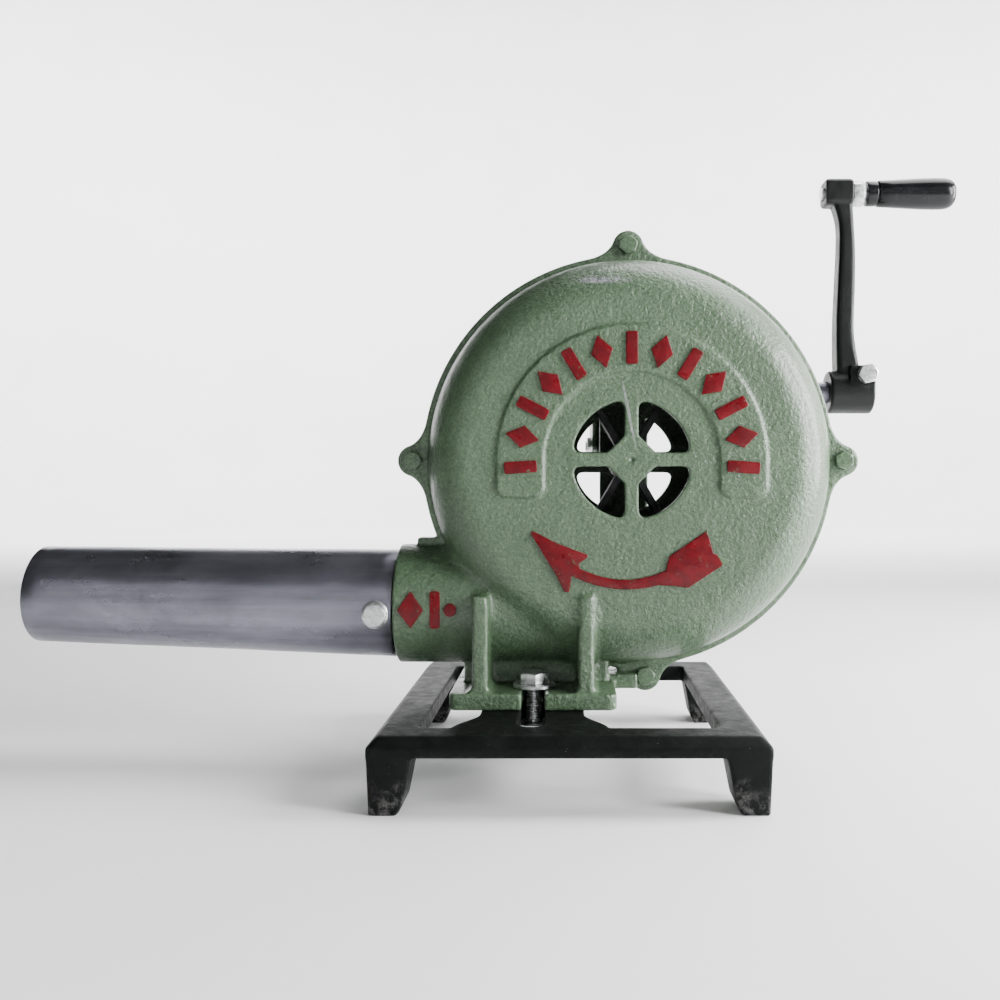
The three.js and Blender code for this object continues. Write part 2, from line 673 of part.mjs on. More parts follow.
footFasteners();

// ---------------------------------------------------------------- impeller and fan shaft
function impellerSpider() {
  const hub = solid(rod("y", spider.hubRadius, -spider.hubLength / 2, spider.hubLength / 2));
  const arms = [];
  for (let i = 0; i < impeller.blades; i++) {
    const half = spider.armThickness / 2;
    const arm = block(5, spider.armReach, -spider.armWidth / 2, spider.armWidth / 2, -half, half);
    arms.push(solid(arm.rotateY((-2 * Math.PI * i) / impeller.blades)));
  }
  const bore = solid(rod("y", fanShaft.radius + runClearance, -spider.hubLength, spider.hubLength));
  return join(hub, ...arms).subtract(bore);
}
addPiece(blower, "impeller_spider", impellerSpider(), "darkIron");

for (let i = 0; i < impeller.blades; i++) {
  const low = spider.armThickness / 2 + gap;
  const half = impeller.bladeShare * casing.halfDepth;
  const blade = block(impeller.bladeFrom, impellerRadius, -half, half, low, low + impeller.bladeThickness);
  addPiece(blower, "impeller_blade_" + (i + 1), blade, "darkIron", {
    turn: [0, (-2 * Math.PI * i) / impeller.blades, 0],
  });
}

const impellerFront = -spider.hubLength / 2;
addPiece(
  blower,
  "impeller_nut",
  hexNut(impellerNut.acrossFlats, impellerNut.height, fanShaft.radius + runClearance),
  "zincSteel",
  { at: [0, impellerFront - gap - impellerNut.height, 0] },
);

const fanShaftFront = impellerFront - gap - impellerNut.height - fanShaft.frontTail;

const rearBushOuter = barrelInner + 1.2; // wider than the worm, so that the shaft draws out backwards

function fanBushes() {
  const inner = fanShaft.radius + runClearance;
  const frontEnd = casing.halfDepth - fanBush.recess;
  const front = tube("y", fanBushOuter, inner, casing.halfDepth - casing.wall - 5, frontEnd);
  const rear = tube("y", rearBushOuter, inner, rearBushFrom + gap, barrelEnd - fanBush.recess);
  addPiece(blower, "fan_bush_front", front, "bronze");
  addPiece(blower, "fan_bush_rear", rear, "bronze");
}
fanBushes();

// ---------------------------------------------------------------- crossed helical gears
// Transverse outline of a helical gear with involute flanks, a tooth centred at the given angle.
function gearOutline(teeth, helix, flankSteps, firstTooth) {
  const transverse = gearTeeth.module / Math.cos(helix);
  const pitchRadius = (teeth * transverse) / 2;
  const pressure = Math.atan(Math.tan(rad(gearTeeth.pressure)) / Math.cos(helix));
  const baseRadius = pitchRadius * Math.cos(pressure);
  const involute = (angle) => Math.tan(angle) - angle;
  const rootRadius = pitchRadius - toothDedendum;
  const tipRadius = pitchRadius + toothAddendum;
  const slack = gearCut.backlash / Math.cos(helix) / 2;
  const halfTooth = Math.PI / (2 * teeth) - slack / pitchRadius;
  const start = Math.max(rootRadius, baseRadius);
  const flank = [];
  if (rootRadius < baseRadius) flank.push([rootRadius, halfTooth + involute(pressure)]);
  for (let i = 0; i <= flankSteps; i++) {
    const radius = start + ((tipRadius - start) * i) / flankSteps;
    const here = Math.acos(Math.min(1, baseRadius / radius));
    flank.push([radius, halfTooth + involute(pressure) - involute(here)]);
  }
  const points = [];
  for (let tooth = 0; tooth < teeth; tooth++) {
    const centre = firstTooth + (2 * Math.PI * tooth) / teeth;
    for (const [radius, offset] of flank) {
      points.push([radius * Math.cos(centre - offset), radius * Math.sin(centre - offset)]);
    }
    for (const [radius, offset] of [...flank].reverse()) {
      points.push([radius * Math.cos(centre + offset), radius * Math.sin(centre + offset)]);
    }
  }
  return outline(points);
}

// An outline extruded along Z, evenly about zero, and twisted by a turn for each millimetre.
function twisted(shape, length, turnPerLength, steps) {
  const geometry = new THREE.ExtrudeGeometry(shape, { depth: length, steps, bevelEnabled: false });
  geometry.translate(0, 0, -length / 2);
  const points = geometry.getAttribute("position");
  for (let i = 0; i < points.count; i++) {
    const turn = points.getZ(i) * turnPerLength;
    const x = points.getX(i);
    const y = points.getY(i);
    points.setX(i, x * Math.cos(turn) - y * Math.sin(turn));
    points.setY(i, x * Math.sin(turn) + y * Math.cos(turn));
  }
  return geometry;
}

// Both gears are cut about Z and then laid down, the wheel on X and the worm on Y.
function layOnX(geometry) {
  return geometry.rotateY(Math.PI / 2);
}

function layOnY(geometry) {
  return geometry.rotateX(-Math.PI / 2);
}

function gearWheel() {
  // Laid on X, the outline's +X side points down, to the worm.
  const shape = gearOutline(gearTeeth.wheel, wheelHelix, 1, 0);
  const blank = twisted(shape, wheel.width, Math.tan(wheelHelix) / wheelPitchRadius, 2);
  const hubWidth = crankShaft.radius + wheel.hubWall;
  const hub = rod("x", hubWidth, -wheel.width / 2, wheelHubEnd);
  const bore = rod("x", crankShaft.radius + runClearance, -30, 30);
  const half = shaftKey.width / 2 + gap;
  const keyway = block(-30, 30, -half, half, 0, crankShaft.radius + shaftKey.height / 2 + gap);
  const holeCircle = (hubWidth + wheelPitchRadius - toothDedendum - wheel.rimWidth) / 2;
  const holes = [];
  for (let i = 0; i < wheel.holes; i++) {
    const [y, z] = polar(holeCircle, 18 + (i * 360) / wheel.holes);
    holes.push(solid(rod("x", wheel.holeRadius, -20, 20, 16).translate(0, y, z)));
  }
  return cut(join(solid(layOnX(blank)), solid(hub)), solid(bore), solid(keyway), ...holes);
}

// The fan shaft, with the four-start worm cut in one piece with it.
function fanShaftSolid() {
  // Laid on Y, the outline's -Y side points up, to the wheel, and a gap between teeth must be there.
  const firstTooth = -Math.PI / 2 + Math.PI / gearTeeth.worm;
  const shape = gearOutline(gearTeeth.worm, wormHelix, 2, firstTooth);
  const lead = Math.tan(wormHelix) / wormPitchRadius;
  const thread = layOnY(twisted(shape, worm.length, lead, 20)).translate(0, crankBehind, 0);
  const frontEnd = crankBehind - worm.length / 2 + 0.5;
  const rearEnd = crankBehind + worm.length / 2 - 0.5;
  const frontPart = rod("y", fanShaft.radius, fanShaftFront, frontEnd);
  const rearPart = rod("y", fanShaft.radius, rearEnd, barrelEnd + fanShaft.rearTail);
  return join(solid(thread), solid(frontPart), solid(rearPart));
}

addPiece(crank, "gear_wheel", gearWheel(), "darkIron");
addPiece(blower, "fan_shaft", fanShaftSolid(), "bareSteel");

// ---------------------------------------------------------------- gear case
const crankBushOuter = crankShaft.radius + runClearance + crankBush.wall;

// One solid for each cover screw, about the crank axis.
function aroundCover(radius, from, to) {
  return coverScrew.angles.map((angle) => {
    const [y, z] = polar(screwCircle, angle);
    return solid(rod("x", radius, from, to, 12).translate(0, y, z));
  });
}

function gearCaseBody() {
  const { halfWidth, wall } = gearCase;
  const lower = [0, -crankBehind, -centreDistance]; // from the crank axis to the fan axis
  const top = screwTop + mountPlate.aroundScrew;
  const bottom = screwBottom - mountPlate.aroundScrew;
  const drum = solid(rod("x", drumOuter, -halfWidth, halfWidth, 32));
  const boss = solid(rod("x", crankBoss.radius, halfWidth - 2, crankBoss.end));
  const barrel = solid(rod("y", barrelOuter, plateBack - 2, barrelEnd).translate(...lower));
  const plate = solid(block(-halfWidth, halfWidth, caseFront, plateBack, bottom, top).translate(...lower));
  const web = block(-5, 5, plateBack - 1, crankBehind - drumOuter / 2, -barrelOuter, top - 24);
  const filler = solid(rod("z", oilPlug.seatRadius, drumOuter - 4, drumOuter + oilPlug.seat));
  const body = join(
    drum,
    boss,
    barrel,
    plate,
    solid(web.translate(...lower)),
    filler,
    ...aroundCover(coverScrew.lugRadius, -halfWidth, halfWidth),
  );
  const screwEnd = coverInside + gap + coverScrew.bite + 3;
  const hollow = cut(
    body,
    solid(rod("x", drumInner, -halfWidth - 5, halfWidth - wall, 32)),
    solid(rod("x", crankBushOuter + gap, 0, crankBoss.end + 5)),
    solid(rod("z", oilPlug.diameter / 2 + runClearance, 20, drumOuter + oilPlug.seat + 5, 16)),
    ...aroundCover(coverScrew.diameter / 2 + runClearance, -halfWidth - 5, screwEnd),
  );
  return cut(
    hollow.translate([0, crankBehind, centreDistance]),
    solid(rod("y", barrelInner, plateBack + 2, rearBushFrom)),
    solid(rod("y", rearBushOuter + gap, rearBushFrom, barrelEnd + 5)),
    solid(rod("y", fanShaft.radius + runClearance, caseFront - 5, plateBack + 5)),
    ...mountHoles(),
  );
}
addPiece(blower, "gear_case", gearCaseBody(), "greenPaint");

function gearCaseCover() {
  const plate = solid(rod("x", drumOuter, coverFace, coverInside, 32));
  const boss = solid(rod("x", gearCover.boss, coverFace - gearCover.bossLength, coverInside));
  const lugs = aroundCover(coverScrew.lugRadius, coverFace, coverInside);
  const holes = aroundCover(coverScrew.diameter / 2 + runClearance, coverFace - 5, coverInside + 5);
  const bore = solid(rod("x", crankBushOuter + gap, coverFace - 2, coverInside + 5));
  return cut(join(plate, boss, ...lugs), bore, ...holes);
}
addPiece(crank, "gear_cover", gearCaseCover(), "greenPaint");

coverScrew.angles.forEach((angle, i) => {
  const [y, z] = polar(screwCircle, angle);
  const screw = hexBolt(coverScrew, gearCover.thickness + 2 * gap + coverScrew.bite);
  addPiece(crank, "cover_screw_" + (i + 1), screw, "zincSteel", {
    at: [coverFace - gap, y, z],
    turn: [0, 0, -Math.PI / 2],
  });
});

addPiece(crank, "oil_plug", hexBolt(oilPlug, oilPlug.length), "zincSteel", {
  at: [0, 0, drumOuter + oilPlug.seat + gap],
  turn: [-Math.PI / 2, 0, 0],
});

for (const [end, z] of [["top", screwTop], ["bottom", screwBottom]]) {
  const screw = hexBolt(mountScrew, mountPlate.thickness + mountScrew.bite);
  addPiece(blower, "gear_case_screw_" + end, screw, "zincSteel", {
    at: [0, plateBack + gap, z],
    turn: [0, 0, Math.PI],
  });
}

// ---------------------------------------------------------------- crank shaft, bushes, key and collar
const keyFrom = -wheel.width / 2 + shaftKey.setBack;
const keyEnd = wheelHubEnd - shaftKey.setBack;
const keyFloor = crankShaft.radius - shaftKey.height / 2;

function crankShaftSolid() {
  const shaft = solid(rod("x", crankShaft.radius, coverFace - 1, hubEnd + crankShaft.pastHub));
  const half = shaftKey.width / 2 + gap;
  const above = crankShaft.radius + 2;
  const keyway = block(keyFrom - gap, keyEnd + gap, -half, half, keyFloor - gap, above);
  return cut(shaft, solid(keyway));
}

function wheelKey() {
  const half = shaftKey.width / 2;
  return block(keyFrom, keyEnd, -half, half, keyFloor, keyFloor + shaftKey.height);
}
addPiece(crank, "crank_shaft", crankShaftSolid(), "bareSteel");
addPiece(crank, "wheel_key", wheelKey(), "bareSteel");

function crankBushes() {
  const inner = crankShaft.radius + runClearance;
  const { end } = crankBoss;
  const coverBush = tube("x", crankBushOuter, inner, coverFace - 1, -gearCase.halfWidth);
  const bossBush = tube("x", crankBushOuter, inner, end - crankBush.length, end - crankBush.recess);
  addPiece(crank, "crank_bush_inner", coverBush, "bronze");
  addPiece(crank, "crank_bush_outer", bossBush, "bronze");
}
crankBushes();

// The collar on the shaft against the end of the boss, and the screw that holds it.
function collarPieces() {
  const from = crankBoss.end + gap;
  const collarMiddle = from + shaftCollar.length / 2;
  const inner = crankShaft.radius + runClearance;
  const outer = inner + shaftCollar.wall;
  const ring = solid(tube("x", outer, inner, from, from + shaftCollar.length));
  const hole = rod("z", collarScrew.radius + gap + 0.1, crankShaft.radius / 2, outer + 5, 12);
  const screw = rod("z", collarScrew.radius, crankShaft.radius + gap, outer + collarScrew.proud, 12);
  addPiece(crank, "shaft_collar", cut(ring, solid(hole.translate(collarMiddle, 0, 0))), "bareSteel");
  addPiece(crank, "collar_screw", screw.translate(collarMiddle, 0, 0), "zincSteel");
}
collarPieces();

// ---------------------------------------------------------------- crank arm with its clamp
// The arm's two edges, from the hub to the boss at the top: a share of the throw above the crank axis,
// and how far along X from the hub's inner end.
const armInnerEdge = [[0, 6.8], [0.3, 6], [0.53, 7.4], [0.72, 8.8], [0.855, 8.2], [0.96, 3]];
const armOuterEdge = [[0, 27.8], [0.12, 25.2], [0.3, 21], [0.53, 22], [0.72, 22.2], [0.96, 20]];

function armProfile() {
  const smooth = (points) => {
    const places = points.map(([share, x]) => new THREE.Vector2(hubFrom + x, share * crankArm.throw));
    return new THREE.SplineCurve(places).getPoints(points.length * 2);
  };
  return new THREE.Shape([...smooth(armInnerEdge).reverse(), ...smooth(armOuterEdge)]);
}

function crankArmSolid() {
  const flat = crankArm.halfDepthHub - crankArm.bevel;
  const blade = new THREE.ExtrudeGeometry(armProfile(), {
    depth: 2 * flat,
    bevelThickness: crankArm.bevel,
    bevelSize: crankArm.bevel,
    bevelOffset: -crankArm.bevel,
    bevelSegments: 2,
  });
  blade.rotateX(Math.PI / 2).translate(0, flat, 0);
  const corners = blade.getAttribute("position");
  const narrowing = 1 - crankArm.halfDepthTop / crankArm.halfDepthHub;
  for (let i = 0; i < corners.count; i++) {
    const share = THREE.MathUtils.clamp(corners.getZ(i) / crankArm.throw, 0, 1);
    corners.setY(i, corners.getY(i) * (1 - narrowing * share));
  }
  const hub = solid(rod("x", hubRadius, hubFrom, hubEnd));
  const lug = solid(block(clampFrom, hubEnd, -clampHalfDepth, clampHalfDepth, 0, clampTop));
  const bossHalf = armBoss.height / 2;
  const bossShape = roundedRectangle(
    -armBoss.halfDepth, armBoss.halfDepth,
    crankArm.throw - bossHalf, crankArm.throw + bossHalf,
    armBoss.corner,
  );
  const bossPlate = new THREE.ExtrudeGeometry(bossShape, {
    depth: armBoss.length,
    bevelEnabled: false,
    curveSegments: 3,
  });
  bossPlate.rotateX(Math.PI / 2).rotateZ(Math.PI / 2).translate(bossFrom, 0, 0);
  const bore = rod("x", crankShaft.radius + runClearance, hubFrom - 5, hubEnd + 5);
  const half = clamp.slit / 2;
  const slit = block(clampFrom - clamp.rootDepth, hubEnd + 5, -half, half, 0, clampTop + 5);
  const boltRoom = rod("y", clampBolt.diameter / 2 + runClearance, -2 * hubRadius, 2 * hubRadius, 16);
  const spindleRoom = rod("x", handleBolt.radius + runClearance, bossFrom - 5, bossEnd + 5, 16);
  return cut(
    join(solid(blade), hub, lug, solid(bossPlate)),
    solid(bore),
    solid(slit),
    solid(boltRoom.translate(clampBoltX, 0, clampBoltRise)),
    solid(spindleRoom.translate(0, 0, crankArm.throw)),
  );
}
addPiece(crank, "crank_arm", crankArmSolid(), "blackPaint");

function clampFasteners() {
  const at = (y) => [clampBoltX, y, clampBoltRise];
  const washerFrom = -clampHalfDepth - gap - clampWasher.thickness;
  const seat = washerFrom - gap;
  const nutFrom = clampHalfDepth + gap;
  const room = clampBolt.diameter / 2 + runClearance;
  const bolt = hexBolt(clampBolt, nutFrom - seat + clampBolt.nut + clampBolt.tail);
  const washer = tube("y", clampWasher.radius, room, 0, clampWasher.thickness);
  const nut = hexNut(clampBolt.acrossFlats, clampBolt.nut, room);
  addPiece(crank, "clamp_bolt", bolt, "zincSteel", { at: at(seat) });
  addPiece(crank, "clamp_washer", washer, "zincSteel", { at: at(washerFrom) });
  addPiece(crank, "clamp_nut", nut, "zincSteel", { at: at(nutFrom) });
}
clampFasteners();

// ---------------------------------------------------------------- revolving handle
function handleBoltSolid() {
  const shank = solid(rod("x", handleBolt.radius, bossFrom - 2, handleHead + 1, 16));
  const head = solid(rod("x", handleBolt.headRadius, handleHead, handleHead + handleBolt.head, 20));
  const half = handleBolt.slot / 2;
  const floor = handleHead + handleBolt.head - handleBolt.slotDepth;
  return cut(join(shank, head), solid(block(floor, floor + 10, -half, half, -20, 20)));
}

function gripSolid() {
  const bore = handleBolt.radius + runClearance;
  const mouth = handleBolt.headRadius + 0.6;
  const seat = handleHead - gap;
  const collarEnd = gripFrom + grip.collar;
  return spin("x", [
    [gripFrom, bore],
    [gripFrom, grip.collarRadius - 0.8],
    [gripFrom + 0.8, grip.collarRadius],
    [collarEnd, grip.collarRadius],
    [collarEnd + 0.8, grip.neckRadius],
    [gripFrom + grip.length * 0.45, grip.radius - 0.9],
    [gripFrom + grip.length * 0.75, grip.radius],
    [gripEnd - 8, grip.radius - 0.1],
    [gripEnd - 3, grip.radius - 1.7],
    [gripEnd - 0.8, grip.radius - 4],
    [gripEnd, mouth],
    [seat, mouth],
    [seat, bore],
  ]);
}

const spindle = new THREE.Group();
spindle.position.set(0, 0, crankArm.throw);
crank.add(spindle);
addPiece(spindle, "handle_bolt", handleBoltSolid(), "zincSteel");
addPiece(
  spindle,
  "handle_nut",
  hexNut(handleNut.acrossFlats, handleNut.thickness, handleBolt.radius + runClearance),
  "zincSteel",
  { at: [bossEnd + gap, 0, 0], turn: [0, 0, -Math.PI / 2] },
);
addPiece(spindle, "handle_grip", gripSolid(), "blackPlastic");

// ---------------------------------------------------------------- origin at the middle of the footprint
assembly.updateMatrixWorld(true);
const extent = new THREE.Box3().setFromObject(assembly, true);
const middle = extent.getCenter(new THREE.Vector3());
assembly.position.set(-middle.x, -middle.y, -extent.min.z);

export default assembly;
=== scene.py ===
import json
import math

import bpy
import bmesh
from bpy.props import FloatProperty, FloatVectorProperty, PointerProperty
from mathutils import Matrix, Vector


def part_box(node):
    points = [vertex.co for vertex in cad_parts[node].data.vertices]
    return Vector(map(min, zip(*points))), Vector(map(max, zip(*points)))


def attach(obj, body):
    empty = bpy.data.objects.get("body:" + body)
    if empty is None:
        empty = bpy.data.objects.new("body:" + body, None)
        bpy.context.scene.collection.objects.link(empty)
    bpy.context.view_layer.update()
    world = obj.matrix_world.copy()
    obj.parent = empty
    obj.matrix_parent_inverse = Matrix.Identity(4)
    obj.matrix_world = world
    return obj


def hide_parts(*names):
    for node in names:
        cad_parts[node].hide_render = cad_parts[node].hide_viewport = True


bl_info = {
    "name": "Forge Blower Maker",
    "version": (1, 0, 0),
    "blender": (4, 5, 0),
    "location": "View3D > Sidebar > Forge",
    "description": "Makes the castings, crank, pipe and stand of a hand-cranked forge blower",
    "category": "Object",
}

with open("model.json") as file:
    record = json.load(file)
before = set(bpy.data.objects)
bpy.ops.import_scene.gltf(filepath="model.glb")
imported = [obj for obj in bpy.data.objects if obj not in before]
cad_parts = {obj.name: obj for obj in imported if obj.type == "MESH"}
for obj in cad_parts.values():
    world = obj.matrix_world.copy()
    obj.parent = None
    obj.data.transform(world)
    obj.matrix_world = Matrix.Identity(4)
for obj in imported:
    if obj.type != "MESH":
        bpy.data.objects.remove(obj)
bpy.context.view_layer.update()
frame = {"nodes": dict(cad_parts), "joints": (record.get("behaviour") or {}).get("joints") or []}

# ------------------------------------------------------------------ places read from the frame
MM = 0.001
joints = {joint["name"]: Vector(joint["pos_m"]) for joint in frame["joints"]}
FAN = joints["fan_spin"]  # the fan's axis, on the plane where the casing's halves meet
CRANK = joints["crank_spin"]
GRIP = joints["grip_spin"]
X, Y, Z = Vector((1, 0, 0)), Vector((0, 1, 0)), Vector((0, 0, 1))
M8_HOLE = 4.3 * MM  # radius of the way for an M8 screw, and of an M8 nut's bore
BUSH_SPACE = 0.3 * MM  # between a bush and the seat cut for it
SPIGOT_RADIUS, SPIGOT_LENGTH = 34.6 * MM, 28 * MM  # the neck's end, inside the pipe
PIPE_NEAR, PIPE_FAR = 38.1 * MM, 33.8 * MM  # outer radius at the pipe's two ends
PIPE_WALL, PIPE_LENGTH = 1.5 * MM, 255 * MM
PIPE_TILT = math.radians(1.5)  # the far end stands a little higher
REAR_WINDOW, REAR_SPOKE = 0.95, 1.7  # rear openings: share of the front's radius and spoke


def size_of(node):
    low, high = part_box(node)
    return high - low


def middle_of(node):
    low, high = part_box(node)
    return (low + high) / 2


EARS = [middle_of(f"casing_bolt_{i}") for i in range(1, 5)]


# ------------------------------------------------------------------ sizes and colours
def length(name, description, millimetres):
    return FloatProperty(
        name=name,
        description=description,
        default=millimetres * MM,
        unit="LENGTH",
        subtype="DISTANCE",
        precision=5,
    )


def colour(name, description, value):
    return FloatVectorProperty(
        name=name, description=description, default=value, subtype="COLOR", min=0, max=1
    )


def power(name, description, watts):
    return FloatProperty(name=name, description=description, default=watts, unit="POWER")


class CastingSizes(bpy.types.PropertyGroup):
    """Sizes of the blower's two casing halves"""

    flange_radius: length("Flange radius", "Rim of the joint flange", 146.6)
    flange_thickness: length("Flange thickness", "Thickness of one half's flange", 7)
    flange_strip: length("Flange strip", "Width of flange showing outside the dome", 5.1)
    rounding: length("Rounding", "Dome rim to the flat of the face", 32.5)
    half_depth: length("Half depth", "Joint plane to face", 50)
    wall: length("Wall", "Thickness of the cast wall", 6)
    ear_radius: length("Ear radius", "Round end of a bolt ear", 11)
    inlet_radius: length("Inlet radius", "Outer edge of the air windows", 40)
    spoke_width: length("Spoke width", "Width of the bars between the windows", 9.3)
    window_corner: length("Window corner", "Rounding of a window's outer corners", 6)
    hub_radius: length("Hub radius", "Solid middle of the inlet", 14.7)
    arch_inner: length("Arch inner", "Inner radius of the raised arch", 59.3)
    arch_outer: length("Arch outer", "Outer radius of the raised arch", 90.2)
    arch_drop: length("Arch drop", "How far the arch's ends reach below the fan axis", 25)
    arch_height: length("Arch height", "How far the arch stands off the face", 2.2)
    relief_height: length("Relief height", "How far the red marks stand off", 1.8)
    neck_radius: length("Neck radius", "Radius of the outlet neck", 42)
    rim_above: length("Rim above neck", "Flange rim below the neck's lowest line", 2.9)
    neck_stand_off: length("Neck stand-off", "Flange rim to the neck's end", 15.4)
    airway_radius: length("Airway radius", "Bore of the neck", 31.5)
    cast_grain: length("Cast grain", "Finest edge that the castings hold", 1.1)


class StandSizes(bpy.types.PropertyGroup):
    """Sizes of the cast stand"""

    rail: length("Rail", "Width of the frame's rails", 28)
    thickness: length("Thickness", "Thickness of the frame", 12)
    bevel: length("Bevel", "Sloping outer edge of the frame", 6)
    leg_width: length("Leg width", "Leg at the frame, across", 28.5)
    leg_depth: length("Leg depth", "Leg at the frame, front to back", 36)
    leg_foot_width: length("Leg foot width", "Leg at the floor, across", 19.5)
    leg_foot_depth: length("Leg foot depth", "Leg at the floor, front to back", 30)
    tongue_half: length("Tongue half width", "Half width of the tongue", 34)
    tongue_flare: length("Tongue flare", "Half width of the tongue where it joins the rail", 49)
    slot_width: length("Slot width", "Width of the slot for the foot bolt", 15.6)


class CrankSizes(bpy.types.PropertyGroup):
    """Sizes of the crank arm and its clamp"""

    hub_radius: length("Hub radius", "Hub that holds the shaft", 17.8)
    slit: length("Clamp slit", "Width of the split in the hub", 2.6)
    half_depth_low: length("Arm half depth, low", "Half of the arm's depth at the hub", 11)
    half_depth_top: length("Arm half depth, top", "Half of the arm's depth at its top", 9)
    boss_height: length("Boss height", "Squared boss at the top of the arm", 21.8)


class FinishColours(bpy.types.PropertyGroup):
    """Colours of the finishes"""

    green: colour("Green paint", "Hammered sage green over rough casting", (0.072, 0.122, 0.066))
    black: colour("Black paint", "Satin black over casting", (0.0012, 0.0018, 0.0016))
    red: colour("Red paint", "Brushed on the raised marks", (0.1, 0.0005, 0.004))
    steel: colour("Bare steel", "Rolled steel of the pipe", (0.2, 0.2, 0.24))
    zinc: colour("Zinc plate", "Dull plate of the bolts", (0.66, 0.67, 0.68))
    plastic: colour("Black plastic", "Moulded grip", (0.004, 0.0045, 0.005))
    iron: colour("Dark iron", "Oiled iron inside the casing", (0.03, 0.032, 0.032))
    bronze: colour("Bronze", "Bearing bushes", (0.55, 0.33, 0.13))


class StudioSettings(bpy.types.PropertyGroup):
    """Camera and light"""

    distance: length("Distance", "Camera to the joint plane", 718.5)
    height: length("Height", "Camera above the floor", 198)
    lens: FloatProperty(name="Lens", description="Focal length in mm", default=36.0)
    shift: FloatVectorProperty(
        name="Shift", description="Lens shift across and up", size=2, default=(-0.0695, -0.019)
    )
    key_power: power("Key light", "Tall soft light on the right", 62)
    front_power: power("Front light", "Tall soft light, front right", 50)
    top_power: power("Top light", "Soft light overhead", 40)
    backdrop_power: power("Backdrop light", "Each light on the backdrop", 230)
    room: FloatProperty(name="Room light", description="Even light of the room", default=0.14)


# ------------------------------------------------------------------ mesh tools
def object_from(name, points, faces):
    mesh = bpy.data.meshes.new(name)
    mesh.from_pydata([tuple(point) for point in points], [], faces)
    bm = bmesh.new()
    bm.from_mesh(mesh)
    bmesh.ops.remove_doubles(bm, verts=bm.verts, dist=1e-7)
    bmesh.ops.recalc_face_normals(bm, faces=bm.faces)
    bm.to_mesh(mesh)
    bm.free()
    made = bpy.data.objects.new(name, mesh)
    bpy.context.scene.collection.objects.link(made)
    return made


def frame_of(axis):
    """Two directions that make a right-handed set with the axis"""
    across = Vector((0, 0, 1)) if abs(axis.z) < 0.9 else Vector((1, 0, 0))
    side = across.cross(axis).normalized()
    return side, axis.cross(side)


def turned(name, profile, axis, at, segments=96):
    """A closed solid of revolution from (along, radius) pairs, about the axis through at"""
    u, v = frame_of(axis)
    points = []
    faces = []
    rows = []
    for along, radius in profile:
        row = []
        steps = 1 if radius < 1e-9 else segments
        for i in range(steps):
            angle = 2 * math.pi * i / segments
            row.append(len(points))
            points.append(at + axis * along + (u * math.cos(angle) + v * math.sin(angle)) * radius)
        rows.append(row)
    closed = rows if len(rows[0]) == 1 and len(rows[-1]) == 1 else rows + [rows[0]]
    for one, two in zip(closed, closed[1:]):
        for i in range(segments):
            j = (i + 1) % segments
            corners = [one[i % len(one)], one[j % len(one)], two[j % len(two)], two[i % len(two)]]
            face = [c for k, c in enumerate(corners) if c != corners[k - 1]]
            if len(face) > 2:
                faces.append(face)
    return object_from(name, points, faces)


def chamfered(low, high, radius, lip, inner=0.0):
    """The (along, radius) profile of a drum or ring whose outer edges are broken by a small lip"""
    ends = [(low, inner), (low, radius - lip), (low + lip, radius)]
    return ends + [(high - lip, radius), (high, radius - lip), (high, inner)]


def rod(name, radius, low, high, axis, at, segments=64):
    return turned(name, [(low, 0), (low, radius), (high, radius), (high, 0)], axis, at, segments)


def bands(rows, count):
    """The faces between neighbouring rings of count points each"""
    faces = []
    for low in range(0, (rows - 1) * count, count):
        for i in range(count):
            j = (i + 1) % count
            faces.append([low + i, low + j, low + count + j, low + count + i])
    return faces


def lofted(name, rings):
    """A closed solid through rings of points that all have the same count"""
    count = len(rings[0])
    points = [point for ring in rings for point in ring]
    faces = bands(len(rings), count)
    faces.append(list(range(count))[::-1])
    last = (len(rings) - 1) * count
    faces.append(list(range(last, last + count)))
    return object_from(name, points, faces)


def plate(name, outline, low, high, to_place):
    """An outline of (a, b) pairs made thick from low to high; to_place(a, b, c) puts a point"""
    return lofted(name, [[to_place(a, b, c) for a, b in outline] for c in (low, high)])


def block(name, low, high):
    outline = [(low[0], low[1]), (high[0], low[1]), (high[0], high[1]), (low[0], high[1])]
    return plate(name, outline, low[2], high[2], lambda a, b, c: Vector((a, b, c)))


def polar(radius, angle):
    return (radius * math.cos(angle), radius * math.sin(angle))


def arc(cx, cy, radius, start, end, steps):
    """Points on an arc, both ends included, angles in radians"""
    turns = [start + (end - start) * i / steps for i in range(steps + 1)]
    return [(cx + radius * math.cos(t), cy + radius * math.sin(t)) for t in turns]


def rounded_rectangle(x0, x1, y0, y1, radius, steps=6):
    quarter = math.pi / 2
    return (
        arc(x1 - radius, y0 + radius, radius, -quarter, 0, steps)
        + arc(x1 - radius, y1 - radius, radius, 0, quarter, steps)
        + arc(x0 + radius, y1 - radius, radius, quarter, 2 * quarter, steps)
        + arc(x0 + radius, y0 + radius, radius, 2 * quarter, 3 * quarter, steps)
    )


def applied(made):
    """Replaces an object's mesh by its mesh with the modifiers worked in"""
    graph = bpy.context.evaluated_depsgraph_get()
    mesh = bpy.data.meshes.new_from_object(made.evaluated_get(graph))
    made.modifiers.clear()
    old = made.data
    made.data = mesh
    bpy.data.meshes.remove(old)
    return made


def combined(made, tools, operation):
    """Joins the tools to an object, or cuts them from it, and removes the tools"""
    for tool in tools:
        step = made.modifiers.new(operation.title(), "BOOLEAN")
        step.operation = operation
        step.solver = "MANIFOLD"
        step.object = tool
    applied(made)
    for tool in tools:
        bpy.data.objects.remove(tool)
    if not made.data.vertices:
        raise RuntimeError(f"{made.name} came to nothing when it was combined")
    return made


def joined(made, *tools):
    return combined(made, tools, "UNION")


def cut(made, *tools):
    return combined(made, tools, "DIFFERENCE")


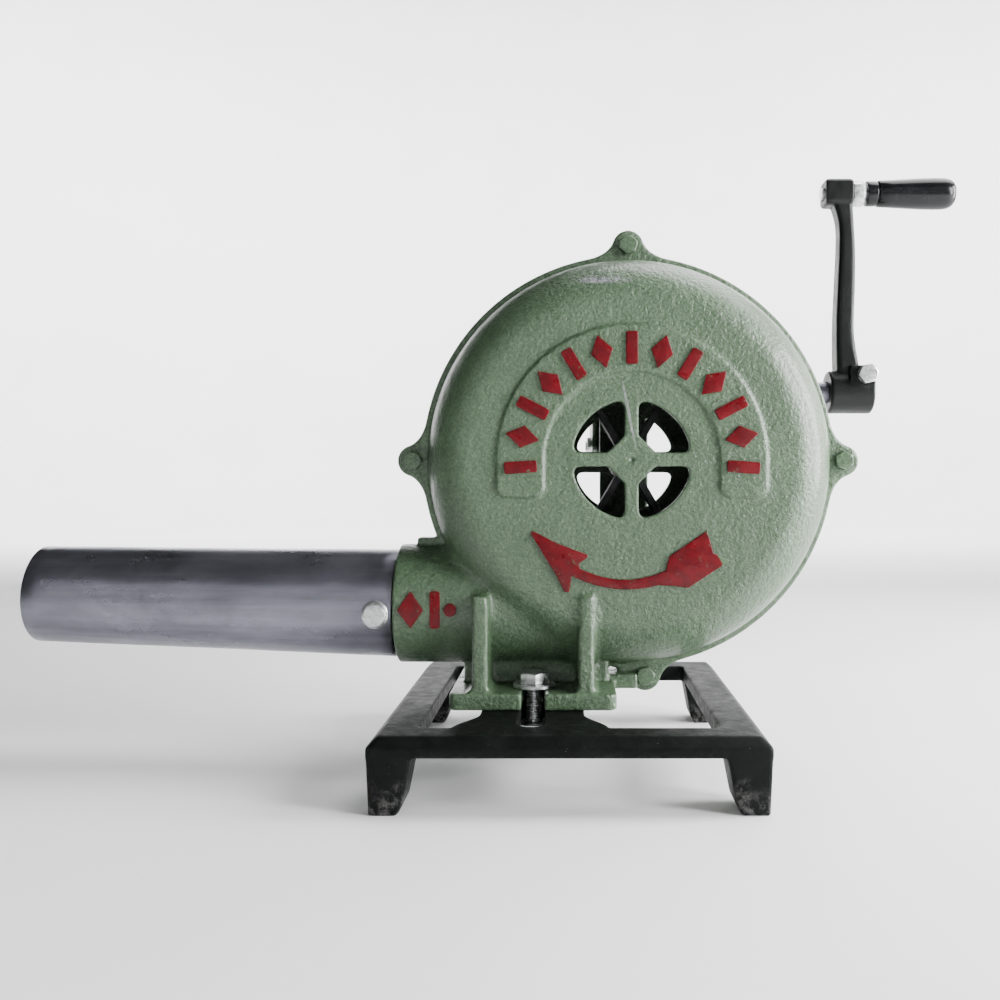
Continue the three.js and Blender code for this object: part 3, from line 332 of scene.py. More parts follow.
def cast(made, grain, passes=3):
    """Gives an object the soft edges and small fillets of a casting"""
    skin = made.modifiers.new("Skin", "REMESH")
    skin.mode = "VOXEL"
    skin.voxel_size = grain
    soften = made.modifiers.new("Soften", "SMOOTH")
    soften.factor = 0.5
    soften.iterations = passes
    applied(made)
    return shade_smooth(made)


def shade_smooth(made, angle=None):
    if angle is None:
        made.data.shade_smooth()
        return made
    bm = bmesh.new()
    bm.from_mesh(made.data)
    for edge in bm.edges:
        edge.smooth = len(edge.link_faces) == 2 and edge.calc_face_angle(0) < math.radians(angle)
    for face in bm.faces:
        face.smooth = True
    bm.to_mesh(made.data)
    bm.free()
    return made


def eased(made, width, segments=2, angle=30):
    """Rounds an object's sharp edges by a small width"""
    ease = made.modifiers.new("Ease", "BEVEL")
    ease.width = width
    ease.segments = segments
    ease.limit_method = "ANGLE"
    ease.angle_limit = math.radians(angle)
    applied(made)
    return shade_smooth(made, 40)


def placed(made, body, nodes, material):
    """Sets a piece on its body, in place of its CAD nodes, with its finish"""
    made.data.materials.clear()
    made.data.materials.append(material)
    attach(made, body)
    if nodes:
        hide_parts(*nodes)
    return made


# ------------------------------------------------------------------ materials
class Nodes:
    """A material's node tree, with the few kinds of node that these finishes use"""

    def __init__(self, name):
        found = bpy.data.materials.get(name)
        self.ready = found is not None
        self.material = found or bpy.data.materials.new(name)
        if self.ready:
            return
        self.material.use_nodes = True
        self.tree = self.material.node_tree
        self.shader = self.tree.nodes["Principled BSDF"]
        self.place = self.tree.nodes.new("ShaderNodeTexCoord").outputs["Object"]

    def set(self, **values):
        for socket, value in values.items():
            title = socket.replace("_", " ").title().replace("Ior", "IOR")
            self.shader.inputs[title].default_value = value

    def link(self, source, socket):
        self.tree.links.new(source, self.shader.inputs[socket])

    def noise(self, scale, detail=3.0, roughness=0.5, stretch=(1, 1, 1), distortion=0.0):
        mapped = self.tree.nodes.new("ShaderNodeMapping")
        mapped.inputs["Scale"].default_value = stretch
        self.tree.links.new(self.place, mapped.inputs["Vector"])
        node = self.tree.nodes.new("ShaderNodeTexNoise")
        node.inputs["Scale"].default_value = scale
        node.inputs["Detail"].default_value = detail
        node.inputs["Roughness"].default_value = roughness
        node.inputs["Distortion"].default_value = distortion
        self.tree.links.new(mapped.outputs["Vector"], node.inputs["Vector"])
        return node.outputs["Fac"]

    def cells(self, scale):
        node = self.tree.nodes.new("ShaderNodeTexVoronoi")
        node.inputs["Scale"].default_value = scale
        self.tree.links.new(self.place, node.inputs["Vector"])
        return node.outputs["Distance"]

    def mix(self, share, one, two):
        node = self.tree.nodes.new("ShaderNodeMix")
        node.data_type = "RGBA"
        for index, value in ((0, share), (6, one), (7, two)):
            if hasattr(value, "node"):
                self.tree.links.new(value, node.inputs[index])
            elif index == 0:
                node.inputs[0].default_value = value
            else:
                node.inputs[index].default_value = (*value, 1)
        return node.outputs[2]

    def maths(self, operation, one, two):
        node = self.tree.nodes.new("ShaderNodeMath")
        node.operation = operation
        for index, value in enumerate((one, two)):
            if hasattr(value, "node"):
                self.tree.links.new(value, node.inputs[index])
            else:
                node.inputs[index].default_value = value
        return node.outputs["Value"]

    def times(self, one, two):
        return self.maths("MULTIPLY", one, two)

    def less(self, one, two):
        return self.maths("SUBTRACT", one, two)

    def spread(self, source, low, high, to_low=0.0, to_high=1.0):
        node = self.tree.nodes.new("ShaderNodeMapRange")
        self.tree.links.new(source, node.inputs["Value"])
        limits = {"From Min": low, "From Max": high, "To Min": to_low, "To Max": to_high}
        for socket, value in limits.items():
            node.inputs[socket].default_value = value
        return node.outputs["Result"]

    def along(self, axis):
        node = self.tree.nodes.new("ShaderNodeSeparateXYZ")
        self.tree.links.new(self.place, node.inputs["Vector"])
        return node.outputs[axis]

    def edges(self):
        return self.tree.nodes.new("ShaderNodeNewGeometry").outputs["Pointiness"]

    def bump(self, height, strength, distance, below=None):
        node = self.tree.nodes.new("ShaderNodeBump")
        node.inputs["Strength"].default_value = strength
        node.inputs["Distance"].default_value = distance
        self.tree.links.new(height, node.inputs["Height"])
        if below is not None:
            self.tree.links.new(below, node.inputs["Normal"])
        return node.outputs["Normal"]


def shade(value, factor):
    return tuple(min(1.0, channel * factor) for channel in value)


def rubbed_patch(nodes, at, reach, rise, tilt=0.0):
    """How far a point lies inside a long oval on the front of the casing, at (x, z) from the fan"""
    x = nodes.less(nodes.along("X"), FAN.x + at[0])
    z = nodes.less(nodes.along("Z"), FAN.z + at[1])
    slid = nodes.less(x, nodes.times(z, tilt))
    x = nodes.maths("DIVIDE", slid, reach)
    z = nodes.maths("DIVIDE", z, rise)
    away = nodes.maths("ADD", nodes.times(x, x), nodes.times(z, z))
    return nodes.spread(away, 0.3, 1.0, 1.0, 0.0)


def green_paint(pits=1.0, scuffed=False):
    """Hammered green enamel over a sand casting, its hollows darkened with painted shade"""
    nodes = Nodes("Scuffed green" if scuffed else "Hammered green" if pits == 1 else "Smooth green")
    if nodes.ready:
        return nodes.material
    base = tuple(bpy.context.scene.forge_colours.green)
    cloud = nodes.noise(9, 4, 0.55)
    speckle = nodes.noise(520, 3, 0.6)
    tone = nodes.mix(nodes.spread(cloud, 0.35, 0.68), shade(base, 0.86), shade(base, 1.16))
    tone = nodes.mix(nodes.spread(speckle, 0.36, 0.6), shade(base, 0.62), tone)
    glint = nodes.spread(nodes.noise(640, 2, 0.5), 0.6, 0.72, 0.0, 0.6)
    tone = nodes.mix(glint, tone, shade(base, 1.7))
    worn = nodes.spread(nodes.edges(), 0.535, 0.60)
    worn = nodes.times(worn, nodes.spread(nodes.noise(160, 5), 0.47, 0.60))
    tone = nodes.mix(nodes.times(worn, 0.55), tone, (0.19, 0.2, 0.18))
    # painted shade: the colour turns darker wherever the surface is hollow, in creases and corners
    hollow_shade = nodes.spread(nodes.edges(), 0.43, 0.485, 0.75, 0.0)
    tone = nodes.mix(hollow_shade, tone, shade(base, 0.28))
    specks = nodes.spread(nodes.cells(260), 0.0, 0.11, 1.0, 0.0)
    rare = nodes.spread(nodes.noise(31, 3), 0.55, 0.66)
    tone = nodes.mix(nodes.times(specks, rare), tone, shade(base, 0.22))
    if scuffed:
        broken = nodes.spread(nodes.noise(420, 4, 0.7), 0.42, 0.56)
        scuff = rubbed_patch(nodes, (-0.019, 0.121), 0.022, 0.0032)
        tone = nodes.mix(nodes.times(scuff, broken), tone, (0.25, 0.24, 0.28))
        line = rubbed_patch(nodes, (-0.002, 0.031), 0.0012, 0.026, -0.2)
        tone = nodes.mix(nodes.times(line, 0.5), tone, (0.3, 0.3, 0.32))
    nodes.link(tone, "Base Color")
    nodes.link(nodes.spread(nodes.noise(70, 4), 0.3, 0.7, 0.27, 0.42), "Roughness")
    nodes.set(specular_ior_level=0.5, coat_weight=0.2, coat_roughness=0.18)
    sand = nodes.bump(nodes.noise(75, 3, 0.55), 0.45, 0.0024)
    peel = nodes.bump(nodes.noise(330, 2, 0.5), 0.8 * pits, 0.0012, sand)
    grain = nodes.bump(nodes.noise(820, 3, 0.65), 0.75 * pits, 0.0006, peel)
    holes = nodes.spread(nodes.cells(240), 0.03, 0.2)
    nodes.link(nodes.bump(holes, 0.5 * pits, 0.0006, grain), "Normal")
    return nodes.material


def black_paint(name="Black stand paint", worn_below=None, gloss=0.12):
    """Satin black over casting, its edges painted a lighter grey that is partly rubbed wear and
    partly a painted sheen, and worn away near the floor
    """
    nodes = Nodes(name)
    if nodes.ready:
        return nodes.material
    base = tuple(bpy.context.scene.forge_colours.black)
    tone = nodes.mix(nodes.spread(nodes.noise(55, 5, 0.6), 0.4, 0.7), base, shade(base, 2.6))
    # lighter grey on convex edges: partly rubbed wear, partly a painted sheen
    rubbed_and_sheen = nodes.spread(nodes.edges(), 0.52, 0.58)
    rubbed_and_sheen = nodes.times(rubbed_and_sheen, nodes.spread(nodes.noise(210, 5, 0.7), 0.5, 0.62))
    tone = nodes.mix(nodes.times(rubbed_and_sheen, 0.35), tone, (0.1, 0.1, 0.11))
    specks = nodes.spread(nodes.cells(330), 0.0, 0.09, 1.0, 0.0)
    rare = nodes.spread(nodes.noise(47, 3), 0.56, 0.62)
    tone = nodes.mix(nodes.times(specks, rare), tone, (0.2, 0.2, 0.21))
    rough = nodes.spread(nodes.noise(120, 4), 0.3, 0.7, 0.58 - 1.1 * gloss, 0.80 - 1.5 * gloss)
    if worn_below is not None:
        ragged = nodes.times(nodes.noise(75, 5, 0.7), 0.03)
        height = nodes.less(nodes.along("Z"), ragged)
        bare = nodes.spread(height, worn_below * 0.2 - 0.015, worn_below - 0.015, 0.3, 0.0)
        patches = nodes.spread(nodes.noise(180, 5, 0.75), 0.46, 0.6)
        tone = nodes.mix(nodes.times(bare, patches), tone, (0.24, 0.235, 0.23))
    nodes.link(tone, "Base Color")
    nodes.link(rough, "Roughness")
    nodes.set(specular_ior_level=gloss)
    sand = nodes.bump(nodes.noise(130, 4, 0.6), 0.4, 0.0009)
    peel = nodes.bump(nodes.noise(520, 3, 0.6), 0.4, 0.0004, sand)
    nodes.link(peel, "Normal")
    return nodes.material


def red_paint(name="Brushed red", missed_past=None):
    """Red brushed over raised marks, thin enough at the edges to show the green"""
    nodes = Nodes(name)
    if nodes.ready:
        return nodes.material
    colours = bpy.context.scene.forge_colours
    base = tuple(colours.red)
    cloud = nodes.spread(nodes.noise(150, 4), 0.35, 0.7)
    tone = nodes.mix(cloud, shade(base, 0.72), shade(base, 1.25))
    chips = nodes.spread(nodes.noise(330, 5, 0.7), 0.62, 0.68)
    tone = nodes.mix(chips, tone, shade(tuple(colours.green), 0.8))
    if missed_past is not None:
        across = nodes.less(nodes.along("X"), FAN.x)
        up = nodes.times(nodes.less(nodes.along("Z"), FAN.z), 0.5)
        ragged = nodes.times(nodes.noise(260, 4), 0.003)
        past = nodes.maths("ADD", nodes.maths("ADD", across, up), ragged)
        bare = nodes.spread(past, missed_past + 0.0010, missed_past + 0.0022)
        tone = nodes.mix(bare, tone, tuple(colours.green))
    nodes.link(tone, "Base Color")
    nodes.link(nodes.spread(nodes.noise(90, 3), 0.3, 0.7, 0.25, 0.4), "Roughness")
    nodes.set(specular_ior_level=0.25)
    sand = nodes.bump(nodes.noise(240, 4, 0.6), 0.4, 0.0006)
    nodes.link(nodes.bump(nodes.noise(800, 3, 0.7), 0.3, 0.00025, sand), "Normal")
    return nodes.material


def bare_steel():
    """Rolled steel with a soft mottle and faint marks along it"""
    nodes = Nodes("Bare rolled steel")
    if nodes.ready:
        return nodes.material
    base = tuple(bpy.context.scene.forge_colours.steel)
    mottle = nodes.noise(16, 5, 0.6, (0.7, 1, 1), 0.6)
    tone = nodes.mix(nodes.spread(mottle, 0.35, 0.7), shade(base, 0.74), shade(base, 1.3))
    streak = nodes.noise(70, 4, 0.6, (0.06, 1, 1))
    tone = nodes.mix(nodes.spread(streak, 0.5, 0.75, 0.0, 0.5), tone, shade(base, 1.7))
    spots = nodes.spread(nodes.cells(90), 0.0, 0.1, 1.0, 0.0)
    rare = nodes.spread(nodes.noise(23, 3), 0.58, 0.7, 0.0, 0.3)
    tone = nodes.mix(nodes.times(spots, rare), tone, shade(base, 0.3))
    nodes.link(tone, "Base Color")
    nodes.set(metallic=0.92)
    cloudy = nodes.spread(nodes.noise(28, 5, 0.65, (0.5, 1, 1)), 0.3, 0.7, 0.20, 0.42)
    nodes.link(cloudy, "Roughness")
    waves = nodes.bump(nodes.noise(11, 3, 0.5, (0.5, 1, 1)), 0.25, 0.004)
    nodes.link(nodes.bump(nodes.noise(600, 3, 0.6, (0.25, 1, 1)), 0.12, 0.00012, waves), "Normal")
    return nodes.material


def zinc_plate():
    """Dull plated steel with a fine cloud and painted shade in its corners"""
    nodes = Nodes("Zinc plate")
    if nodes.ready:
        return nodes.material
    base = tuple(bpy.context.scene.forge_colours.zinc)
    cloud = nodes.spread(nodes.noise(260, 4, 0.6), 0.35, 0.7)
    tone = nodes.mix(cloud, shade(base, 0.7), shade(base, 1.12))
    # painted shade: the colour turns darker wherever the surface is hollow, in its corners
    hollow_shade = nodes.spread(nodes.edges(), 0.42, 0.49, 0.8, 0.0)
    tone = nodes.mix(hollow_shade, tone, shade(base, 0.2))
    stain = nodes.spread(nodes.noise(120, 5, 0.7), 0.58, 0.7, 0.0, 0.5)
    tone = nodes.mix(stain, tone, shade(base, 0.42))
    nodes.link(tone, "Base Color")
    nodes.set(metallic=0.95)
    nodes.link(nodes.spread(nodes.noise(330, 4), 0.3, 0.7, 0.24, 0.45), "Roughness")
    nodes.link(nodes.bump(nodes.noise(900, 3, 0.6), 0.2, 0.0002), "Normal")
    return nodes.material


def black_plastic():
    """Moulded plastic with a fine sheen and small knocks"""
    nodes = Nodes("Moulded black")
    if nodes.ready:
        return nodes.material
    base = tuple(bpy.context.scene.forge_colours.plastic)
    tone = nodes.mix(nodes.spread(nodes.noise(60, 4), 0.4, 0.7), base, shade(base, 1.8))
    nodes.link(tone, "Base Color")
    nodes.link(nodes.spread(nodes.noise(150, 4), 0.3, 0.7, 0.14, 0.24), "Roughness")
    nodes.set(specular_ior_level=0.24)
    nodes.link(nodes.bump(nodes.noise(300, 3, 0.6), 0.08, 0.0002), "Normal")
    return nodes.material


def dark_iron():
    """Iron with a dark skin of oil and dust"""
    nodes = Nodes("Dark iron")
    if nodes.ready:
        return nodes.material
    base = tuple(bpy.context.scene.forge_colours.iron)
    cloud = nodes.spread(nodes.noise(45, 5, 0.6), 0.35, 0.7)
    tone = nodes.mix(cloud, shade(base, 0.6), shade(base, 1.7))
    rust = nodes.spread(nodes.noise(110, 5, 0.7), 0.58, 0.7, 0.0, 0.5)
    tone = nodes.mix(rust, tone, (0.09, 0.05, 0.032))
    nodes.link(tone, "Base Color")
    nodes.set(metallic=0.4)
    nodes.link(nodes.spread(nodes.noise(130, 4), 0.3, 0.7, 0.45, 0.7), "Roughness")
    nodes.link(nodes.bump(nodes.noise(300, 4, 0.6), 0.35, 0.0005), "Normal")
    return nodes.material


def bearing_bronze():
    """Turned bronze with fine tool marks"""
    nodes = Nodes("Bearing bronze")
    if nodes.ready:
        return nodes.material
    base = tuple(bpy.context.scene.forge_colours.bronze)
    cloud = nodes.spread(nodes.noise(90, 4), 0.35, 0.7)
    tone = nodes.mix(cloud, shade(base, 0.7), shade(base, 1.15))
    nodes.link(tone, "Base Color")
    nodes.set(metallic=0.9)
    nodes.link(nodes.spread(nodes.noise(200, 4), 0.3, 0.7, 0.28, 0.5), "Roughness")
    nodes.link(nodes.bump(nodes.noise(700, 2), 0.2, 0.0002), "Normal")
    return nodes.material


# ------------------------------------------------------------------ fasteners
def hex_ring(across_flats, turn=0.0):
    radius = across_flats / math.sqrt(3)
    return [polar(radius, math.pi / 3 * i + turn) for i in range(6)]


def screw_thread(name, radius, low, high, axis, at, pitch, depth=None):
    """A closed rod whose surface is a screw thread with rounded crests"""
    depth = pitch * 0.55 if depth is None else depth
    u, v = frame_of(axis)
    around = 32
    per_turn = 8
    count = max(4, int((high - low) / pitch * per_turn))
    rings = []
    for r in range(count + 1):
        along = low + (high - low) * r / count
        ring = []
        for i in range(around):
            angle = 2 * math.pi * i / around
            phase = (along / pitch - i / around) % 1.0
            groove = depth * (0.5 + 0.5 * math.cos(2 * math.pi * phase)) ** 1.4
            end = min(1.0, (high - along) / pitch) if high > along else 0.0
            reach = radius - groove - depth * 0.6 * (1 - end)
            ring.append(at + axis * along + (u * math.cos(angle) + v * math.sin(angle)) * reach)
        rings.append(ring)
    return shade_smooth(lofted(name, rings), 60)


def hex_body(name, across_flats, low, high, axis, at, turn=0.0, chamfers=(False, True), bore=0.0):
    """A hexagon prism with the round chamfer of a turned nut or bolt head"""
    u, v = frame_of(axis)
    height = high - low
    corner = across_flats / math.sqrt(3)

    def put(a, b, c):
        return at + axis * c + u * a + v * b

    body = plate(name, hex_ring(across_flats, turn), low, high, put)
    flat = across_flats / 2
    fall = (corner - flat * 0.93) * 0.6
    low_edge = flat * 0.93 if chamfers[0] else corner * 1.05
    high_edge = flat * 0.93 if chamfers[1] else corner * 1.05
    slope = min(fall, height / 3)
    sides = [(low + slope, corner * 1.05), (high - slope, corner * 1.05)]
    profile = [(low, 0), (low, low_edge), *sides, (high, high_edge), (high, 0)]
    limit = turned(name + " limit", profile, axis, at, 48)
    combined(body, [limit], "INTERSECT")
    if bore:
        cut(body, rod(name + " bore", bore, low - height, high + height, axis, at, 48))
    return eased(body, 0.00022, 2, 25)


def ring_of(name, outer, inner, low, high, axis, at, ease=0.0004):
    return shade_smooth(turned(name, chamfered(low, high, outer, ease, inner), axis, at, 72), 30)


def together(name, *parts):
    """Gathers separate meshes of one piece into one object"""
    bm = bmesh.new()
    for part in parts:
        bm.from_mesh(part.data)
    mesh = bpy.data.meshes.new(name)
    bm.to_mesh(mesh)
    bm.free()
    made = bpy.data.objects.new(name, mesh)
    bpy.context.scene.collection.objects.link(made)
    for part in parts:
        bpy.data.objects.remove(part)
    return made


# ------------------------------------------------------------------ casing
def rim_sections(sizes, rim, depth):
    """The dome's section from the back of the flange to the middle of the face"""
    face = sizes.flange_radius - sizes.flange_strip - sizes.rounding
    steps = 20
    section = []
    for i in range(steps + 1):
        turn = math.pi / 2 * i / steps
        along = sizes.flange_thickness + (depth - sizes.flange_thickness) * math.sin(turn)
        section.append((along, face + (rim - face) * math.cos(turn)))
    return section + [(depth, 0)]


def upright(side):
    """Puts an outline of the fan's plane, given x and z from the fan axis, at a depth"""
    return lambda a, b, c: FAN + Vector((a, side * c, b))


def ear_outline(sizes, place):
    across = Vector((place.x - FAN.x, place.z - FAN.z))
    angle = math.atan2(across.y, across.x)
    spread = math.radians(11.5)
    opening = math.radians(78)
    rim = sizes.flange_radius
    tip = arc(across.x, across.y, sizes.ear_radius, angle - opening, angle + opening, 18)
    base = rim - 6 * MM
    start, end = [], []
    for turn, meets, kept in ((-spread, tip[0], start), (spread, tip[-1], end)):
        foot = Vector(polar(rim - 0.3 * MM, angle + turn))
        notch = Vector(polar(rim + 0.5 * MM, angle + turn * 0.5))
        kept.append(polar(base, angle + turn))
        for share in (0, 0.2, 0.4, 0.6, 0.8):
            towards_tip = notch.lerp(Vector(meets), share)
            kept.append(tuple(foot.lerp(notch, share).lerp(towards_tip, share)))
    return start + tip + end[::-1]


def window_outline(sizes, quarter, share=1.0, width=1.0):
    half = sizes.spoke_width * width / 2
    radius = sizes.inlet_radius * share
    near = sizes.hub_radius * math.sqrt(2) - half
    trim = sizes.window_corner
    turn = (half + trim) / radius
    far = math.sqrt(radius**2 - half**2)
    start = Vector((far - trim, half))
    corner = Vector((far, half))
    end = Vector(polar(radius, turn))
    bend = [start.lerp(corner, t).lerp(corner.lerp(end, t), t) for t in (0, 0.25, 0.5, 0.75, 1)]
    first = [(near, half)] + [tuple(point) for point in bend]
    rim = arc(0, 0, radius, turn, math.pi / 2 - turn, 18)[1:-1]
    second = [(b, a) for a, b in reversed(first)]
    spin = Matrix.Rotation(quarter * math.pi / 2, 2)
    return [tuple(spin @ Vector(point)) for point in first + rim + second]


def arch_outline(sizes):
    inner, outer, below = sizes.arch_inner, sizes.arch_outer, sizes.arch_drop
    soft = 6.5 * MM
    right = arc(outer - soft, -below + soft, soft, -math.pi / 2, 0, 5)
    over = arc(0, 0, outer, 0, math.pi, 60)
    left = arc(-outer + soft, -below + soft, soft, math.pi, 1.5 * math.pi, 5)
    left_in = arc(-inner - soft, -below + soft, soft, -math.pi / 2, 0, 5)
    under = arc(0, 0, inner, math.pi, 0, 48)
    right_in = arc(inner + soft, -below + soft, soft, math.pi, 1.5 * math.pi, 5)
    return right + over + left + left_in + under + right_in


def filleted_rib(name, side, place, thickness, floor, top, low_reach, top_reach):
    """An upright rib across the foot, spreading where it meets the plate"""
    rings = []
    fillet = 6 * MM
    steps = [floor - 1 * MM, floor] + [floor + fillet * t for t in (0.08, 0.2, 0.4, 0.7, 1)] + [top]
    for height in steps:
        rise = min(1.0, max(0.0, (height - floor) / fillet))
        flare = fillet * 0.8 * (1 - math.sqrt(1 - (1 - rise) ** 2)) if rise < 1 else 0.0
        share = (height - floor) / (top - floor)
        reach = low_reach + (top_reach - low_reach) * share
        half = thickness / 2 + flare
        ring = [(place - half, -1 * MM), (place + half, -1 * MM)]
        ring += [(place + half, reach - 1.5 * MM), (place + half - 1.5 * MM, reach)]
        ring += [(place - half + 1.5 * MM, reach), (place - half, reach - 1.5 * MM)]
        rings.append([Vector((a, FAN.y + side * b, height)) for a, b in ring])
    return lofted(name, rings)


def foot_pieces(sizes, side):
    """Plate, web and ribs of one half's foot, and the notch to cut from them"""
    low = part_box("front_casing")[0]
    bolt = middle_of("foot_bolt_front")
    reach = FAN.y - low.y
    bottom = low.z
    top = bottom + 10.8 * MM
    half = 111.4 * MM / 2
    neck_axis = FAN.z - neck_drop(sizes)
    corner = 5 * MM
    outline = rounded_rectangle(bolt.x - half, bolt.x + half, -corner, reach, corner)

    def flat(a, b, c):
        return Vector((a, FAN.y + side * b, c))

    base = plate("foot plate", outline, bottom, top, flat)
    web_ends = (bolt.x - half + 6 * MM, bolt.x + half - 4 * MM)
    web_shape = rounded_rectangle(*web_ends, -4 * MM, 18 * MM, 3 * MM)
    web = plate("foot web", web_shape, top - 1 * MM, neck_axis - sizes.neck_radius / 3, flat)
    reach_y = sorted((FAN.y - side * 1 * MM, FAN.y + side * 16 * MM))
    bridge = block(
        "bridge",
        (bolt.x + half - 8 * MM, reach_y[0], top - 5 * MM),
        (EARS[3].x - 6 * MM, reach_y[1], top + 5 * MM),
    )
    pieces = [base, web, bridge]
    for hand in (-1, 1):
        place = bolt.x + hand * 70.8 * MM / 2
        rib_top = neck_axis + 10.3 * MM
        pieces.append(
            filleted_rib("rib", side, place, 10.5 * MM, top, rib_top, 56 * MM, 53 * MM)
        )
    notch_half = 7.6 * MM
    bolt_reach = FAN.y - bolt.y
    round_end = arc(bolt.x, bolt_reach, notch_half, math.pi, 2 * math.pi, 14)
    open_end = [(bolt.x + notch_half, reach + 5 * MM), (bolt.x - notch_half, reach + 5 * MM)]
    notch = plate("notch", round_end + open_end, bottom - 1 * MM, top + 1 * MM, flat)
    return pieces, notch


def neck_drop(sizes):
    return sizes.flange_radius - sizes.rim_above - sizes.neck_radius


def pipe_axis_point(along):
    return Vector((FAN.x + along, FAN.y, FAN.z - neck_drop(bpy.context.scene.forge_casting)))


def casing_half(name, side):
    sizes = bpy.context.scene.forge_casting
    direction = Y * side
    neck_reach = sizes.flange_radius + sizes.neck_stand_off
    body_rim = sizes.flange_radius - sizes.flange_strip
    lip = 0.9 * MM
    thick = sizes.flange_thickness
    section = [(0, 0), (0, sizes.flange_radius), (thick - lip, sizes.flange_radius)]
    section += [(thick, sizes.flange_radius - lip), (thick, body_rim + 1.6 * MM)]
    section += [(thick - 0.9 * MM, body_rim + 0.6 * MM)]
    section += rim_sections(sizes, body_rim, sizes.half_depth)
    outer = turned(name, section, direction, FAN, 192)
    neck_at = pipe_axis_point(0)
    spigot_end = -neck_reach - SPIGOT_LENGTH
    grown = [
        rod("neck", sizes.neck_radius, -neck_reach, 0, X, neck_at, 96),
        rod("spigot", SPIGOT_RADIUS, spigot_end, -neck_reach + 5 * MM, X, neck_at, 96),
        block(
            "neck flange",
            (neck_at.x - neck_reach + 12 * MM, FAN.y - sizes.flange_thickness, neck_at.z),
            (
                neck_at.x - neck_reach + 58 * MM,
                FAN.y + sizes.flange_thickness,
                neck_at.z + sizes.neck_radius + 5 * MM,
            ),
        ),
    ]
    for place in EARS:
        outline = ear_outline(sizes, place)
        grown.append(plate("ear", outline, 0, sizes.flange_thickness + 0.4 * MM, upright(side)))
    foot, notch = foot_pieces(sizes, side)
    grown += foot
    face = sizes.half_depth
    if side < 0:
        top = face + sizes.arch_height
        grown.append(plate("arch", arch_outline(sizes), face - 1 * MM, top, upright(side)))
    else:
        grown.append(rod("rear hub", 20 * MM, face - 12 * MM, face, Y, FAN, 64))
    joined(outer, *grown)
    inside = [(-1 * MM, 0), (-1 * MM, body_rim - sizes.wall)]
    inside += rim_sections(sizes, body_rim - sizes.wall, face - sizes.wall)
    removed = [
        turned("chamber", inside, direction, FAN, 160),
        rod("airway", sizes.airway_radius, -neck_reach - 40 * MM, -45 * MM, X, neck_at, 80),
        notch,
    ]
    for quarter in range(4):
        shares = () if side < 0 else (REAR_WINDOW, REAR_SPOKE)
        outline = window_outline(sizes, quarter, *shares)
        removed.append(plate("window", outline, face - 13 * MM, face + 5 * MM, upright(side)))
    for place in EARS:
        hole = Vector((place.x, FAN.y, place.z))
        removed.append(rod("ear hole", M8_HOLE, -20 * MM, 20 * MM, Y, hole, 32))
    bolt = middle_of("pipe_bolt")
    if side < 0:
        hole = Vector((bolt.x, FAN.y, bolt.z))
        removed.append(rod("pipe hole", 5 * MM, -40 * MM, -10 * MM, Y, hole, 32))
        removed.append(rod("dimple", 1.9 * MM, face - 1.6 * MM, face + 3 * MM, -Y, FAN, 24))
    else:
        bush = size_of("fan_bush_front").x / 2 + BUSH_SPACE
        removed.append(rod("bush seat", bush, face - 30 * MM, face + 5 * MM, Y, FAN, 64))
        for end in ("top", "bottom"):
            at = middle_of("gear_case_screw_" + end)
            hole = Vector((at.x, FAN.y, at.z))
            removed.append(rod("screw hole", M8_HOLE, 0, 80 * MM, Y, hole, 24))
    cut(outer, *removed)
    far = 0.4
    near = 0.15 * MM
    ends = sorted((FAN.y + side * near, FAN.y + side * far))
    keep = block("keep", (FAN.x - far, ends[0], FAN.z - far), (FAN.x + far, ends[1], FAN.z + far))
    combined(outer, [keep], "INTERSECT")
    cast(outer, sizes.cast_grain, 2)
    return softened_near_neck(outer, sizes, side)


def softened_near_neck(made, sizes, side):
    """Draws the crease where the neck runs into the dome into a wide fillet"""
    group = made.vertex_groups.new(name="Crease")
    axis_z = FAN.z - neck_drop(sizes)
    rim = sizes.flange_radius - sizes.flange_strip
    reach = 13 * MM
    for vertex in made.data.vertices:
        x, y, z = vertex.co.x - FAN.x, side * (vertex.co.y - FAN.y), vertex.co.z
        if y < sizes.flange_thickness + 2 * MM or x > -20 * MM:
            continue
        from_neck = math.hypot(y, z - axis_z) - sizes.neck_radius
        out = math.hypot(x, z - FAN.z)
        face = rim - sizes.rounding
        round_out = max(0.0, out - face) / sizes.rounding
        dome = sizes.half_depth - sizes.flange_thickness
        round_up = max(0.0, y - sizes.flange_thickness) / dome
        from_dome = (math.hypot(round_out, round_up) - 1) * sizes.rounding
        near = max(abs(from_neck), abs(from_dome))
        if near < reach:
            group.add([vertex.index], 1 - (near / reach) ** 2, "REPLACE")
    soften = made.modifiers.new("Fillet", "SMOOTH")
    soften.factor = 0.9
    soften.iterations = 60
    soften.vertex_group = group.name
    applied(made)
    return shade_smooth(made)


def bent(start, pull, end, steps=14):
    """A curve from start to end, drawn towards pull, without its end points"""
    start, pull, end = Vector(start), Vector(pull), Vector(end)
    shares = [i / steps for i in range(1, steps)]
    return [tuple(start.lerp(pull, t).lerp(pull.lerp(end, t), t)) for t in shares]


def arrow_outline():
    """The curved arrow for the way the fan turns, in millimetres from the fan axis"""
    head = [(-42, -88.6), (-45.2, -88.4), (-50, -78), (-67.8, -49.5), (-66.6, -47.6), (-50, -56)]
    barb = [(-29.6, -63.8), (-29.4, -65.4), (-35.4, -69.4), (-34.6, -73)]
    tail = [(22.7, -74.2), (24.9, -64.8), (50.2, -47.6), (54.3, -62.6), (65.4, -67.5)]
    heel = [(37.6, -85.8), (27.7, -84.4), (17.7, -83.9)]
    inner = bent(barb[-1], (-6, -87.1), tail[0])
    outer = bent(heel[-1], (-11.4, -91.8), (-40.2, -77.8))
    outline = head + barb + inner + tail + heel + outer + [(-40.2, -77.8)]
    return [(a * MM, b * MM) for a, b in outline]


